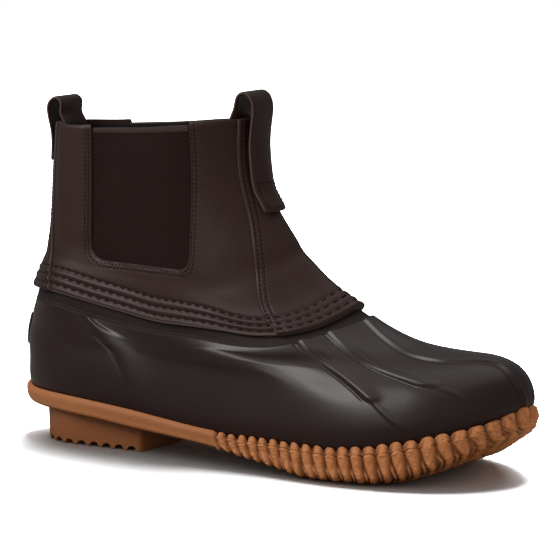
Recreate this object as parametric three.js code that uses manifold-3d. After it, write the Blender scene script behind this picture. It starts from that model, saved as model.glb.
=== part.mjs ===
// A pull-on duck boot for the right foot: a moulded rubber foot shell on a gum sole, with a leather shaft
// sewn over the shell's lip, elastic gores at both sides and a pull loop at the front and at the back.
// Millimetres. +X is the toe, +Y the inner (medial) side, +Z up. The heel and the forefoot stand on z = 0.
import * as THREE from "three";
import Module from "manifold-3d";

// Named sizes.
const LENGTH = 300; // of the last and its welt line, heel to toe
const BALL_WIDTH = 108; // over the sole's rim at the ball
const BOOT_HEIGHT = 180; // scale of all heights above the sole's underside
const HEEL_HEIGHT = 18; // underside of the rim above the ground at the back
const TOE_SPRING = 26; // underside of the rim above the ground at the tip
const TIP_SWING = 0.12; // sideways set of the toe's tip, a share of half the ball width
const GAP = 0.3; // between neighbouring pieces
const SHELL_WALL = 2.2;
const FLAP_WALL = 1.8; // the shell's edge under the leather
const LIP_RAISE = 1.1; // rolled lip of the shell
const LEATHER_WALL = 2.0;
const LEATHER_STEP = 0.8; // how far the leather's lower edge stands out
const OVERLAY_WALL = 1.3; // front panel and back strip
const GORE_WALL = 1.4;
const RIB_HALF_WIDTH = 2.4;
const INSOLE_THICKNESS = 3.5;
const HEEL_BACK = 0.04 * LENGTH; // along, where the heel block starts
const HEEL_BREAST = 0.288 * LENGTH;
const HEEL_HALF_WIDTH = 0.285 * BALL_WIDTH; // just inside the sole's edge
const NOTCH_HEIGHT = 2.2; // half-round notches round the heel's lower edge
const NOTCH_REACH = 6;
const NOTCHES_PER_SIDE = 11;
const LOBES_PER_SIDE = 25; // moulded knuckles round the forefoot, from the waist to the tip
const LOBE_START = 0.47; // along, where the knuckles begin
const STRAP_WIDTH = 20;
const STRAP_THICKNESS = 1.8;
const LOOP_RISE = 13; // top of the pull loops over the collar
const FRONT_LOOP_STAND = 4.7; // how far the loops stand off the leather
const BACK_LOOP_STAND = 1.8;
const FRONT_LOOP_CURL = 3.4; // how far the straps' sides curl back round the shaft
const BACK_LOOP_CURL = 2.6;
const HEEL_PATCH_THICKNESS = 1.8;
const HEEL_PATCH_WIDTH = 23;
const GORE_MARGIN = 4; // gore cloth hidden behind the leather round its window

// Plan of the sole: shares of the length, and of half the ball width on each side.
const STATIONS = [
  { along: 0.0, lateral: 0, medial: 0 },
  { along: 0.03, lateral: 0.39, medial: 0.39 },
  { along: 0.13, lateral: 0.66, medial: 0.65 },
  { along: 0.3, lateral: 0.71, medial: 0.64 },
  { along: 0.47, lateral: 0.81, medial: 0.67 },
  { along: 0.62, lateral: 0.95, medial: 0.83 },
  { along: 0.75, lateral: 1.0, medial: 0.99 },
  { along: 0.87, lateral: 0.85, medial: 0.93 },
  { along: 0.96, lateral: 0.47, medial: 0.59 },
  { along: 1.0, lateral: 0, medial: 0 },
];
// Share of a ring's way round at each station, from the back (0.5) to the tip (0).
const STATION_U = [0.5, 0.467, 0.42, 0.347, 0.274, 0.208, 0.152, 0.1, 0.05, 0];

// Heights that the rings are measured from, under each zone of the boot.
const BASE = {
  back: HEEL_HEIGHT,
  heel: 0.97 * HEEL_HEIGHT,
  waist: 0.56 * HEEL_HEIGHT,
  ball: 1.5,
  toe: 0.35 * TOE_SPRING,
  front: 0.77 * TOE_SPRING,
};

// Rings of the last from the sole up. level: place in the stack; back and front: shares of the length;
// zBack to zFront: rise over BASE in shares of BOOT_HEIGHT; wBack to wToe: width against STATIONS.
const RINGS = [
  { name: "floor", level: -0.5, back: 0.015, front: 0.968, zBack: 0.039, zHeel: 0.036, zWaist: 0.025,
    zBall: 0.042, zToe: 0.061, zFront: 0.028,
    wBack: 0.87, wHeel: 0.87, wWaist: 0.86, wBall: 0.88, wToe: 0.86, swing: 0.9 },
  { name: "feather", level: 0, back: -0.002, front: 0.988, zBack: 0.061, zHeel: 0.053, zWaist: 0.044,
    zBall: 0.097, zToe: 0.122, zFront: 0.078,
    wBack: 0.93, wHeel: 0.93, wWaist: 0.93, wBall: 0.93, wToe: 0.91, swing: 0.9 },
  { name: "belly", level: 1, back: -0.006, front: 0.996, zBack: 0.133, zHeel: 0.125, zWaist: 0.122,
    zBall: 0.158, zToe: 0.183, zFront: 0.144,
    wBack: 0.98, wHeel: 0.97, wWaist: 0.94, wBall: 0.95, wToe: 0.9, swing: 0.8 },
  { name: "side", level: 2, back: -0.006, front: 0.97, zBack: 0.206, zHeel: 0.186, zWaist: 0.194,
    zBall: 0.231, zToe: 0.25, zFront: 0.211,
    wBack: 0.98, wHeel: 0.95, wWaist: 0.88, wBall: 0.88, wToe: 0.78, swing: 0.7 },
  { name: "crown", level: 3, back: 0.0, front: 0.9, zBack: 0.256, zHeel: 0.236, zWaist: 0.244,
    zBall: 0.286, zToe: 0.283, zFront: 0.239,
    wBack: 0.93, wHeel: 0.91, wWaist: 0.82, wBall: 0.78, wToe: 0.66, swing: 0.7 },
  { name: "vamp", level: 4, back: 0.004, front: 0.8, zBack: 0.289, zHeel: 0.269, zWaist: 0.272,
    zBall: 0.319, zToe: 0.303, zFront: 0.253,
    wBack: 0.9, wHeel: 0.88, wWaist: 0.76, wBall: 0.7, wToe: 0.52, swing: 0.6 },
  { name: "lip", level: 5, back: 0.011, front: 0.695, zBack: 0.317, zHeel: 0.308, zWaist: 0.283,
    zBall: 0.331, zToe: 0.356, zFront: 0.319,
    wBack: 0.87, wHeel: 0.85, wWaist: 0.74, wBall: 0.62, wToe: 0.44, swing: 0.4 },
  { name: "band", level: 6, back: 0.023, front: 0.608, zBack: 0.389, zHeel: 0.381, zWaist: 0.372,
    zBall: 0.414, zToe: 0.433, zFront: 0.413,
    wBack: 0.8, wHeel: 0.8, wWaist: 0.7, wBall: 0.58, wToe: 0.42, swing: 0.3 },
  { name: "ankle", level: 7.5, back: 0.046, front: 0.536, zBack: 0.522, zHeel: 0.519, zWaist: 0.539,
    zBall: 0.586, zToe: 0.572, zFront: 0.533,
    wBack: 0.72, wHeel: 0.7, wWaist: 0.66, wBall: 0.52, wToe: 0.38, swing: 0.1 },
  { name: "shin", level: 9, back: 0.052, front: 0.475, zBack: 0.689, zHeel: 0.692, zWaist: 0.728,
    zBall: 0.775, zToe: 0.744, zFront: 0.694,
    wBack: 0.62, wHeel: 0.62, wWaist: 0.6, wBall: 0.48, wToe: 0.38, swing: 0 },
  { name: "collar", level: 10.5, back: 0.057, front: 0.452, zBack: 0.85, zHeel: 0.853, zWaist: 0.908,
    zBall: 0.973, zToe: 0.937, zFront: 0.88,
    wBack: 0.56, wHeel: 0.55, wWaist: 0.58, wBall: 0.5, wToe: 0.46, swing: 0 },
];
const FLOOR = -0.5;
const COLLAR = 10.5;
const LIP = 5.0; // lower edge of the rolled lip
const SEAM = 5.4; // lower edge of the leather, about
const FLAP_TOP = 6.4; // upper edge of the shell, under the leather

// Underside of the sole along its length: shares of the heel height and of the toe spring.
const UNDERSIDE = [
  { along: -0.03, heel: 1.0, toe: 0 },
  { along: 0.08, heel: 0.99, toe: 0 },
  { along: 0.19, heel: 0.9, toe: 0 },
  { along: 0.29, heel: 0.71, toe: 0 },
  { along: 0.46, heel: 0.5, toe: 0 },
  { along: 0.6, heel: 0.19, toe: 0 },
  { along: 0.67, heel: 0, toe: 0 },
  { along: 0.78, heel: 0, toe: 0 },
  { along: 0.84, heel: 0, toe: 0.09 },
  { along: 0.88, heel: 0, toe: 0.24 },
  { along: 0.92, heel: 0, toe: 0.47 },
  { along: 0.96, heel: 0, toe: 0.74 },
  { along: 1.02, heel: 0, toe: 1.12 },
];

// Rings of the sole's rim. lift: share of the way from the underside to the shell's feather line;
// out and up: how far a knuckle's crest stands out and up (mm); sweep: its drift to the toe, in pitches.
const RIM = [
  { name: "tread", back: 0.02, front: 0.94, lift: 0, wHeel: 0.88, wBall: 0.83, wToe: 0.82, out: 0,
    up: 0, sweep: 0.8 },
  { name: "edge", back: 0.004, front: 0.975, lift: 0.1, wHeel: 0.99, wBall: 0.955, wToe: 0.94,
    out: 0.7, up: -0.9, sweep: 0.8 },
  { name: "belly", back: -0.01, front: 0.995, lift: 0.45, wHeel: 1.02, wBall: 0.99, wToe: 0.98,
    out: 1.3, up: 0, sweep: 0.35 },
  { name: "head", back: -0.012, front: 0.999, lift: 0.82, wHeel: 1.01, wBall: 0.985, wToe: 0.975,
    out: 1.2, up: 0.5, sweep: 0.05 },
  { name: "crown", back: -0.01, front: 0.996, lift: 1.02, wHeel: 0.975, wBall: 0.955, wToe: 0.94,
    out: 0.5, up: 1.8, sweep: 0 },
];

// Lines that run up the boot and carry a column of the surface each: u at the floor, at midLevel, at the
// lip, at the seam of the leather over the lip, and at the collar. pleat: raise (mm) of the rib that the
// shell has there, between fadeLow and fadeHigh. count: plain columns between this line and the next.
const GUIDES = [
  { name: "centre", foot: 0, mid: 0, midLevel: 3, lip: 0, seam: 0, top: 0, pleat: 0.9,
    fadeLow: 0.4, fadeHigh: 5.4, count: 3 },
  { name: "inner_vamp_rib", foot: 0.03, mid: 0.096, midLevel: 3.3, lip: 0.06, seam: 0.06,
    top: 0.018, pleat: 1.5,
    fadeLow: 1.2, fadeHigh: 5.2, count: 2 },
  { name: "outer_vamp_rib", foot: 0.093, mid: 0.137, midLevel: 2.7, lip: 0.102, seam: 0.109,
    top: 0.03, pleat: 1.7,
    fadeLow: 0.2, fadeHigh: 5.2, count: 2 },
  { name: "gore_front", foot: 0.19, mid: 0.19, midLevel: 3, lip: 0.19, seam: 0.19, top: 0.125,
    pleat: 0, fadeLow: 0, fadeHigh: 0,
    count: 5 },
  { name: "gore_back", foot: 0.343, mid: 0.3675, midLevel: 3.2, lip: 0.362, seam: 0.362,
    top: 0.364, pleat: 1.7,
    fadeLow: 0.2, fadeHigh: 5.4, count: 3 },
  { name: "back_strip", foot: 0.44, mid: 0.44, midLevel: 3, lip: 0.44, seam: 0.44, top: 0.466,
    pleat: 0, fadeLow: 0, fadeHigh: 0,
    count: 3 },
  { name: "back", foot: 0.5, mid: 0.5, midLevel: 3, lip: 0.5, seam: 0.5, top: 0.5, pleat: 0,
    fadeLow: 0, fadeHigh: 0, count: 0 },
];

const COLOURS = {
  rubber: 0x2f2423,
  gum: 0x96623e,
  heelGum: 0x85523a,
  leather: 0x3a2d2b,
  gore: 0x2a1b19,
  lining: 0x1c1918,
};

// Curves.
function solve(matrix, right) {
  const n = right.length;
  for (let i = 0; i < n; i++) {
    for (let r = i + 1; r < n; r++) {
      const f = matrix[r][i] / matrix[i][i];
      if (f === 0) continue;
      for (let c = i; c < n; c++) matrix[r][c] -= f * matrix[i][c];
      right[r] = right[r].clone().addScaledVector(right[i], -f);
    }
  }
  const out = new Array(n);
  for (let i = n - 1; i >= 0; i--) {
    const v = right[i].clone();
    for (let c = i + 1; c < n; c++) v.addScaledVector(out[c], -matrix[i][c]);
    out[i] = v.multiplyScalar(1 / matrix[i][i]);
  }
  return out;
}

// Bends (second derivatives) of a smooth curve through points at knots; period 0 leaves its ends free.
function bends(knots, points, period) {
  const n = knots.length;
  const m = knots.map(() => new Array(n).fill(0));
  const r = points.map(() => new THREE.Vector3());
  for (let i = 0; i < n; i++) {
    if (!period && (i === 0 || i === n - 1)) {
      m[i][i] = 1;
      continue;
    }
    const before = (i + n - 1) % n;
    const after = (i + 1) % n;
    const h0 = knots[i] - knots[before] + (i === 0 ? period : 0);
    const h1 = knots[after] - knots[i] + (after === 0 ? period : 0);
    m[i][before] += h0;
    m[i][i] += 2 * (h0 + h1);
    m[i][after] += h1;
    r[i].addScaledVector(points[after], 6 / h1);
    r[i].addScaledVector(points[i], -6 / h1 - 6 / h0);
    r[i].addScaledVector(points[before], 6 / h0);
  }
  return solve(m, r);
}

function curveAt(knots, points, bend, period, q) {
  const n = knots.length;
  let t = period ? q - Math.floor(q / period) * period : q;
  let i = 0;
  while (i < n - (period ? 1 : 2) && knots[i + 1] <= t) i++;
  const j = (i + 1) % n;
  const h = knots[j] - knots[i] + (j === 0 ? period : 0);
  const b = (t - knots[i]) / h;
  const a = 1 - b;
  return new THREE.Vector3()
    .addScaledVector(points[i], a)
    .addScaledVector(points[j], b)
    .addScaledVector(bend[i], ((a * a * a - a) * h * h) / 6)
    .addScaledVector(bend[j], ((b * b * b - b) * h * h) / 6);
}

const smooth = (t) => {
  const c = Math.min(1, Math.max(0, t));
  return c * c * (3 - 2 * c);
};

// Height of the sole's underside: rises and falls without overshoot between the table's rows.
function underside(x) {
  const rows = UNDERSIDE.map((r) => [r.along * LENGTH, r.heel * HEEL_HEIGHT + r.toe * TOE_SPRING]);
  const slope = (i) => (rows[i + 1][1] - rows[i][1]) / (rows[i + 1][0] - rows[i][0]);
  const tangent = (i) => {
    if (i === 0) return slope(0);
    if (i === rows.length - 1) return slope(i - 1);
    const s = slope(i - 1);
    const t = slope(i);
    return s * t <= 0 ? 0 : (2 * s * t) / (s + t);
  };
  let i = 0;
  while (i < rows.length - 2 && rows[i + 1][0] <= x) i++;
  const h = rows[i + 1][0] - rows[i][0];
  const t = Math.min(1, Math.max(0, (x - rows[i][0]) / h));
  const t2 = t * t;
  const t3 = t2 * t;
  return (
    (2 * t3 - 3 * t2 + 1) * rows[i][1] +
    (t3 - 2 * t2 + t) * h * tangent(i) +
    (3 * t2 - 2 * t3) * rows[i + 1][1] +
    (t3 - t2) * h * tangent(i + 1)
  );
}

// Values given for six zones, or five, spread over the ten stations.
const overStations = (back, heel, waist, ball, toe, front) => {
  const half = (a, b) => (a + b) / 2;
  const rear = [back, half(back, heel), heel, half(heel, waist), waist];
  return rear.concat([half(waist, ball), ball, half(ball, toe), toe, front]);
};

// The points of one ring, from the tip down the lateral side to the back and up the medial side.
const RING_U = [...STATION_U].reverse().concat(STATION_U.slice(1, 9).map((u) => 1 - u));
function ringPoints(ring, zOf) {
  const widths = overStations(ring.wBack, ring.wHeel, ring.wWaist, ring.wBall, ring.wToe, ring.wToe);
  widths[1] = ring.wBack;
  const point = (k, side) => {
    const s = STATIONS[k];
    const x = (ring.back + s.along * (ring.front - ring.back)) * LENGTH;
    const half = ((s.lateral + s.medial) / 2) * widths[k] * (BALL_WIDTH / 2);
    const swing = (k === 9 ? TIP_SWING : (s.medial - s.lateral) / 2) * ring.swing * (BALL_WIDTH / 2);
    return new THREE.Vector3(x, k === 0 || k === 9 ? swing : swing + side * half, zOf(k, x));
  };
  const lateral = [9, 8, 7, 6, 5, 4, 3, 2, 1, 0].map((k) => point(k, -1));
  const medial = [1, 2, 3, 4, 5, 6, 7, 8].map((k) => point(k, 1));
  return lateral.concat(medial);
}

// The last's surface: rings up the boot, joined by smooth curves.
const NET = RINGS.map((ring) => {
  const base = overStations(BASE.back, BASE.heel, BASE.waist, BASE.ball, BASE.toe, BASE.front);
  const rise = overStations(ring.zBack, ring.zHeel, ring.zWaist, ring.zBall, ring.zToe, ring.zFront);
  return ringPoints(ring, (k) => base[k] + rise[k] * BOOT_HEIGHT);
});
const LEVELS = RINGS.map((r) => r.level);
const NET_BENDS = RING_U.map((_, c) => bends(LEVELS, NET.map((row) => row[c]), 0));
const ringCache = new Map();

function ringAt(level) {
  const key = level.toFixed(4);
  if (!ringCache.has(key)) {
    const points = RING_U.map((_, c) =>
      curveAt(LEVELS, NET.map((row) => row[c]), NET_BENDS[c], 0, level));
    ringCache.set(key, { points, bend: bends(RING_U, points, 1) });
  }
  return ringCache.get(key);
}

function last(u, level) {
  const ring = ringAt(level);
  return curveAt(RING_U, ring.points, ring.bend, 1, u);
}

// A point of the last's surface moved out by a distance along its normal.
function skin(u, level, out) {
  const e = 0.0015;
  const l0 = Math.max(FLOOR, level - 0.04);
  const l1 = Math.min(COLLAR, level + 0.04);
  const round = last(u - e, level).sub(last(u + e, level));
  const rise = last(u, l1).sub(last(u, l0));
  const normal = round.cross(rise).normalize();
  return last(u, level).addScaledVector(normal, out);
}

function guideU(guide, level) {
  const between = (u0, l0, u1, l1) => u0 + (u1 - u0) * smooth((level - l0) / (l1 - l0));
  if (level <= guide.midLevel) return between(guide.foot, FLOOR, guide.mid, guide.midLevel);
  if (level <= LIP) return between(guide.mid, guide.midLevel, guide.lip, LIP);
  if (level <= SEAM) return between(guide.lip, LIP, guide.seam, SEAM);
  return guide.seam + (guide.top - guide.seam) * ((level - SEAM) / (COLLAR - SEAM)) ** 0.8;
}

// The lateral columns at a level, each with the raise of the rib it carries.
const MM_TO_U = 0.5 / (1.083 * LENGTH); // share of a ring's way round for one millimetre
function lateralColumns(level) {
  const columns = [];
  GUIDES.forEach((guide, g) => {
    const u = guideU(guide, level);
    const fade = smooth((level - guide.fadeLow) / 0.8) * smooth((guide.fadeHigh - level) / 0.5);
    const w = RIB_HALF_WIDTH * MM_TO_U;
    if (guide.pleat && u > 0) columns.push({ u: u - w, raise: 0 });
    columns.push({ u, raise: guide.pleat * fade });
    if (guide.pleat) columns.push({ u: u + w, raise: 0 });
    if (g === GUIDES.length - 1) return;
    const next = GUIDES[g + 1];
    const from = u + (guide.pleat ? w : 0);
    const to = guideU(next, level) - (next.pleat ? w : 0);
    for (let i = 1; i <= guide.count; i++) {
      columns.push({ u: from + ((to - from) * i) / (guide.count + 1), raise: 0 });
    }
  });
  return columns;
}

function columnsAt(level) {
  const half = lateralColumns(level);
  const back = half
    .slice(1, -1)
    .reverse()
    .map((c) => ({ u: 1 - c.u, raise: c.raise }));
  return half.concat(back);
}

// The leather's lower edge dips at the instep, and stands out over the shell's lip.
const LEATHER_EDGE = { side: 5.58, dip: 0.27, dipFrom: 0.2, dipOver: 0.11 };
const STEP_FADE = { from: 5.7, over: 1.1 };
const EDGE_MIDDLE = LEATHER_EDGE.side; // the level whose columns the edge's rings use
function leatherEdge(u) {
  const { side, dip, dipFrom, dipOver } = LEATHER_EDGE;
  return side - dip * smooth((dipFrom - Math.min(u, 1 - u)) / dipOver);
}
const leatherOut = (level) => LEATHER_STEP * (1 - smooth((level - STEP_FADE.from) / STEP_FADE.over));

// Solids from rings.
function solidFrom(points, triangles) {
  const geometry = new THREE.BufferGeometry();
  const xyz = points.flatMap((p) => [p.x, p.y, p.z]);
  geometry.setAttribute("position", new THREE.Float32BufferAttribute(xyz, 3));
  let volume = 0;
  for (const [a, b, c] of triangles) volume += points[a].dot(points[b].clone().cross(points[c]));
  geometry.setIndex(triangles.flatMap(([a, b, c]) => (volume < 0 ? [a, c, b] : [a, b, c])));
  return geometry;
}

function strip(triangles, a, b, n, closed) {
  for (let i = 0; i < (closed ? n : n - 1); i++) {
    const j = (i + 1) % n;
    triangles.push([a + i, a + j, b + i], [a + j, b + j, b + i]);
  }
}

// A tube whose section is itself a loop: rings go up the outside and down the inside.
function tubeSolid(rings) {
  const n = rings[0].length;
  const triangles = [];
  rings.forEach((_, r) => strip(triangles, r * n, ((r + 1) % rings.length) * n, n, true));
  return solidFrom(rings.flat(), triangles);
}

// Rings stacked between two caps. A cap joins each lateral point to its medial partner.
function dishSolid(rings) {
  const n = rings[0].length;
  const triangles = [];
  for (let r = 0; r < rings.length - 1; r++) strip(triangles, r * n, (r + 1) * n, n, true);
  const cap = (base, flip) => {
    for (let j = 0; j + 1 <= n - j - 1; j++) {
      const a = base + j;
      const b = base + j + 1;
      const c = base + ((n - j - 1) % n);
      const d = base + ((n - j) % n);
      const faces = [];
      if (b !== c) faces.push([a, b, c]);
      if (a !== d && b !== c) faces.push([a, c, d]);
      if (a !== d && b === c) faces.push([a, b, d]);
      faces.forEach(([p, q, s]) => triangles.push(flip ? [p, s, q] : [p, q, s]));
    }
  };
  cap(0, true);
  cap((rings.length - 1) * n, false);
  return solidFrom(rings.flat(), triangles);
}

// A patch with a wall: outer and inner grids of the same size, closed all round.
function patchSolid(outer, inner) {
  const rows = outer.length;
  const n = outer[0].length;
  const points = outer.flat().concat(inner.flat());
  const base = rows * n;
  const triangles = [];
  for (let r = 0; r < rows - 1; r++) {
    strip(triangles, r * n, (r + 1) * n, n, false);
    strip(triangles, base + (r + 1) * n, base + r * n, n, false);
    const left = [r * n, (r + 1) * n, base + (r + 1) * n, base + r * n];
    const right = left.map((k) => k + n - 1);
    triangles.push([left[0], left[1], left[2]], [left[0], left[2], left[3]]);
    triangles.push([right[0], right[2], right[1]], [right[0], right[3], right[2]]);
  }
  strip(triangles, base, 0, n, false);
  strip(triangles, (rows - 1) * n, base + (rows - 1) * n, n, false);
  return solidFrom(points, triangles);
}

const wasm = await Module();
wasm.setup();

function toManifold(geometry) {
  return new wasm.Manifold(
    new wasm.Mesh({
      numProp: 3,
      vertProperties: new Float32Array(geometry.getAttribute("position").array),
      triVerts: new Uint32Array(geometry.index.array),
    }),
  );
}

function fromManifold(solid) {
  const mesh = solid.getMesh();
  const geometry = new THREE.BufferGeometry();
  const xyz = [];
  for (let i = 0; i < mesh.numVert; i++) {
    for (let k = 0; k < 3; k++) xyz.push(mesh.vertProperties[i * mesh.numProp + k]);
  }
  geometry.setAttribute("position", new THREE.Float32BufferAttribute(xyz, 3));
  geometry.setIndex(Array.from(mesh.triVerts));
  return geometry;
}

// Rubber shell.
// One moulded wall: under the rim, up the sides and over the toe, a rolled lip, and a flap that runs up
// inside the leather.
const SHELL_OUTSIDE = [FLOOR, -0.15, 0.35, 0.9, 1.5, 2.1, 2.7, 3.3, 3.9, 4.5, 4.9];
const SHELL_INSIDE = [4.8, 3.9, 3, 2.1, 1.2, 0.35, -0.15, FLOOR];
function shellRing(level, out, withRibs) {
  return columnsAt(level).map((c) => skin(c.u, level, out + (withRibs ? c.raise : 0)));
}
// A ring that follows the leather's lower edge, so many levels above or below it.
function edgeRing(step, outOf) {
  return columnsAt(EDGE_MIDDLE + step).map((c) => {
    const level = leatherEdge(c.u) + step;
    return skin(c.u, level, outOf(level));
  });
}
const flapOut = (level) => leatherOut(level) - LEATHER_WALL - 1.8 * GAP;
const flapIn = (level) => flapOut(level) - FLAP_WALL;
const shellSolid = tubeSolid([
  ...SHELL_OUTSIDE.map((l) => shellRing(l, 0, true)),
  shellRing(LIP, LIP_RAISE * 0.85, false),
  shellRing(LIP + 0.15, LIP_RAISE, false),
  edgeRing(-0.03, () => LIP_RAISE * 0.8),
  edgeRing(-0.01, flapOut),
  edgeRing(0.4, flapOut),
  shellRing(FLAP_TOP, flapOut(FLAP_TOP), false),
  shellRing(FLAP_TOP, flapIn(FLAP_TOP), false),
  edgeRing(-0.1, flapIn),
  ...SHELL_INSIDE.map((l) => shellRing(l, -SHELL_WALL, false)),
]);

// Outsole.
// Columns of the rim: a few round the heel and the shank, then three to each knuckle of the forefoot.
const LOBE_PHASES = [
  { phase: 0, crest: 0 },
  { phase: 0.32, crest: 1 },
  { phase: 0.72, crest: 1 },
];
const PLAIN_COLUMNS = 15;
function rimColumns() {
  const steps = 400;
  const at = (i) => last((0.5 * i) / steps, 0);
  let way = 0;
  const table = [{ u: 0, way: 0 }];
  let end = 0;
  for (let i = 1; i <= steps; i++) {
    way += at(i).distanceTo(at(i - 1));
    table.push({ u: (0.5 * i) / steps, way });
    if (at(i).x > LOBE_START * LENGTH) end = way;
  }
  const uAt = (w) => {
    let i = 1;
    while (i < table.length - 1 && table[i].way < w) i++;
    const t = (w - table[i - 1].way) / (table[i].way - table[i - 1].way);
    return table[i - 1].u + t * (table[i].u - table[i - 1].u);
  };
  const pitch = end / LOBES_PER_SIDE;
  const columns = [];
  for (let k = 0; k < LOBES_PER_SIDE; k++) {
    const pitchInU = uAt((k + 1) * pitch) - uAt(k * pitch);
    LOBE_PHASES.forEach(({ phase, crest }) => {
      columns.push({ u: uAt((k + phase) * pitch), crest, pitch: pitchInU });
    });
  }
  for (let i = 0; i < PLAIN_COLUMNS; i++) {
    columns.push({ u: uAt(end + ((way - end) * i) / PLAIN_COLUMNS), crest: 0, pitch: 0 });
  }
  columns.push({ u: 0.5, crest: 0, pitch: 0 });
  const other = columns.slice(1, -1).reverse();
  return columns.concat(other.map((c) => ({ u: 1 - c.u, crest: c.crest, pitch: -c.pitch })));
}
const RIM_COLUMNS = rimColumns();

function rimRing(row) {
  const ring = { ...row, wBack: row.wHeel, wWaist: (row.wHeel + row.wBall) / 2, swing: 0.95 };
  const points = ringPoints(ring, () => 0);
  const bend = bends(RING_U, points, 1);
  const at = (u) => curveAt(RING_U, points, bend, 1, u);
  return RIM_COLUMNS.map((c) => {
    const nearTip = smooth(Math.min(c.u, 1 - c.u) / 0.03);
    const u = c.u - c.pitch * row.sweep * nearTip;
    const p = at(u);
    const along = at(u - 0.002).sub(at(u + 0.002));
    const outward = new THREE.Vector3(along.y, -along.x, 0).normalize();
    const low = underside(p.x);
    const top = last(c.u, 0).z;
    p.addScaledVector(outward, row.out * (c.crest - 0.35) * (c.pitch === 0 ? 0 : 1));
    p.z = low + row.lift * (top - low) + row.up * c.crest;
    return p;
  });
}
const rimInside = (level) =>
  RIM_COLUMNS.map((c) => {
    const p = skin(c.u, level, 1.8 * GAP);
    if (level === FLOOR) p.z = last(c.u, FLOOR).z - GAP;
    return p;
  });
const outsoleSolid = dishSolid([...RIM.map(rimRing), rimInside(0.08), rimInside(-0.15), rimInside(FLOOR)]);

// Heel.
// A block with a round back and a straight breast. Its lower edge has half-round notches.
const NOTCH_PHASES = [
  { phase: 0, notch: 0 },
  { phase: 0.3, notch: 1 },
  { phase: 0.5, notch: 1 },
  { phase: 0.85, notch: 0 },
];
function heelColumns() {
  const roundLength = HEEL_HALF_WIDTH * 1.5;
  const straight = HEEL_BREAST - HEEL_BACK - HEEL_HALF_WIDTH;
  const total = roundLength + straight;
  const at = (way) => {
    if (way > roundLength) return [HEEL_BACK + HEEL_HALF_WIDTH + (way - roundLength), HEEL_HALF_WIDTH];
    const angle = ((way / roundLength) * Math.PI) / 2;
    return [HEEL_BACK + HEEL_HALF_WIDTH * (1 - Math.cos(angle)), HEEL_HALF_WIDTH * Math.sin(angle)];
  };
  const half = [];
  for (let k = 0; k < NOTCHES_PER_SIDE; k++) {
    NOTCH_PHASES.forEach(({ phase, notch }) => {
      const [x, y] = at(((k + phase) / NOTCHES_PER_SIDE) * total);
      half.push({ x, y, notch });
    });
  }
  half.push({ x: HEEL_BREAST, y: HEEL_HALF_WIDTH, notch: 0 });
  return half.map((c) => ({ ...c, y: -c.y })).concat([...half.slice(1)].reverse());
}
function heelRing(grow, zOf) {
  const middle = (HEEL_BACK + HEEL_BREAST) / 2;
  return heelColumns().map((c) => {
    const x = middle + (c.x - middle) * (1 + grow);
    return new THREE.Vector3(x, c.y * (1 + grow), zOf(x, c.notch));
  });
}
const heelSolid = dishSolid([
  heelRing((-2 * NOTCH_REACH) / (HEEL_BREAST - HEEL_BACK), () => 0),
  heelRing(0, (x, notch) => notch * NOTCH_HEIGHT),
  heelRing(0.015, (x) => underside(x) - GAP),
]);

// Insole.
function insoleRing(lift) {
  return columnsAt(FLOOR).map((c) => {
    const p = skin(c.u, FLOOR, -SHELL_WALL - 2 * GAP);
    p.z = last(c.u, FLOOR).z + lift;
    return p;
  });
}
const insoleSolid = dishSolid([insoleRing(0.15), insoleRing(INSOLE_THICKNESS)]);

// Leather shaft.
const SHAFT_LEVELS = [FLAP_TOP, 6.9, 7.5, 8.1, 8.8, 9.6, COLLAR];
const leatherRing = (level, out) => columnsAt(level).map((c) => skin(c.u, level, leatherOut(level) + out));
const shaftWall = tubeSolid([
  edgeRing(0.03, (l) => leatherOut(l)),
  edgeRing(0.4, (l) => leatherOut(l)),
  ...SHAFT_LEVELS.map((l) => leatherRing(l, 0)),
  ...[...SHAFT_LEVELS].reverse().map((l) => leatherRing(l, -LEATHER_WALL)),
  edgeRing(0.4, (l) => leatherOut(l) - LEATHER_WALL),
  edgeRing(0.03, (l) => leatherOut(l) - LEATHER_WALL),
]);

// The gore's window, seen from the side: shares of the length and of the boot's height. rounded: radius
// of the corner, a share of the boot's height.
const WINDOW = [
  { along: 0.156, height: 1.1, rounded: 0 },
  { along: 0.168, height: 0.556, rounded: 0.061 },
  { along: 0.386, height: 0.55, rounded: 0.044 },
  { along: 0.378, height: 1.1, rounded: 0 },
];
const CORNER_STEPS = 4;
function windowOutline(margin) {
  const outline = [];
  const corners = WINDOW.map((w, i) => {
    const side = i < 2 ? -1 : 1;
    const low = i === 1 || i === 2 ? -1 : 0;
    return new THREE.Vector2(w.along * LENGTH + side * margin, w.height * BOOT_HEIGHT + low * margin);
  });
  corners.forEach((corner, i) => {
    const radius = WINDOW[i].rounded * BOOT_HEIGHT;
    if (radius === 0) {
      outline.push(corner);
      return;
    }
    const from = corners[i - 1].clone().sub(corner).setLength(radius).add(corner);
    const to = corners[i + 1].clone().sub(corner).setLength(radius).add(corner);
    const bend = new THREE.QuadraticBezierCurve(from, corner, to);
    outline.push(...bend.getPoints(CORNER_STEPS));
  });
  return outline;
}
function windowPrism(margin) {
  const shape = new THREE.Shape(windowOutline(margin));
  const prism = new THREE.ExtrudeGeometry(shape, { depth: BALL_WIDTH, bevelEnabled: false });
  prism.rotateX(Math.PI / 2);
  prism.translate(0, BALL_WIDTH / 2, 0);
  const points = [];
  const index = [];
  const seen = new Map();
  const position = prism.getAttribute("position");
  for (let i = 0; i < position.count; i++) {
    const p = new THREE.Vector3().fromBufferAttribute(position, i);
    const key = [p.x, p.y, p.z].map((q) => q.toFixed(3)).join();
    if (!seen.has(key)) {
      seen.set(key, points.length);
      points.push(p);
    }
    index.push(seen.get(key));
  }
  const triangles = [];
  for (let i = 0; i < index.length; i += 3) triangles.push(index.slice(i, i + 3));
  return toManifold(solidFrom(points, triangles));
}
const shaftSolid = fromManifold(toManifold(shaftWall).subtract(windowPrism(0)));

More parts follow.
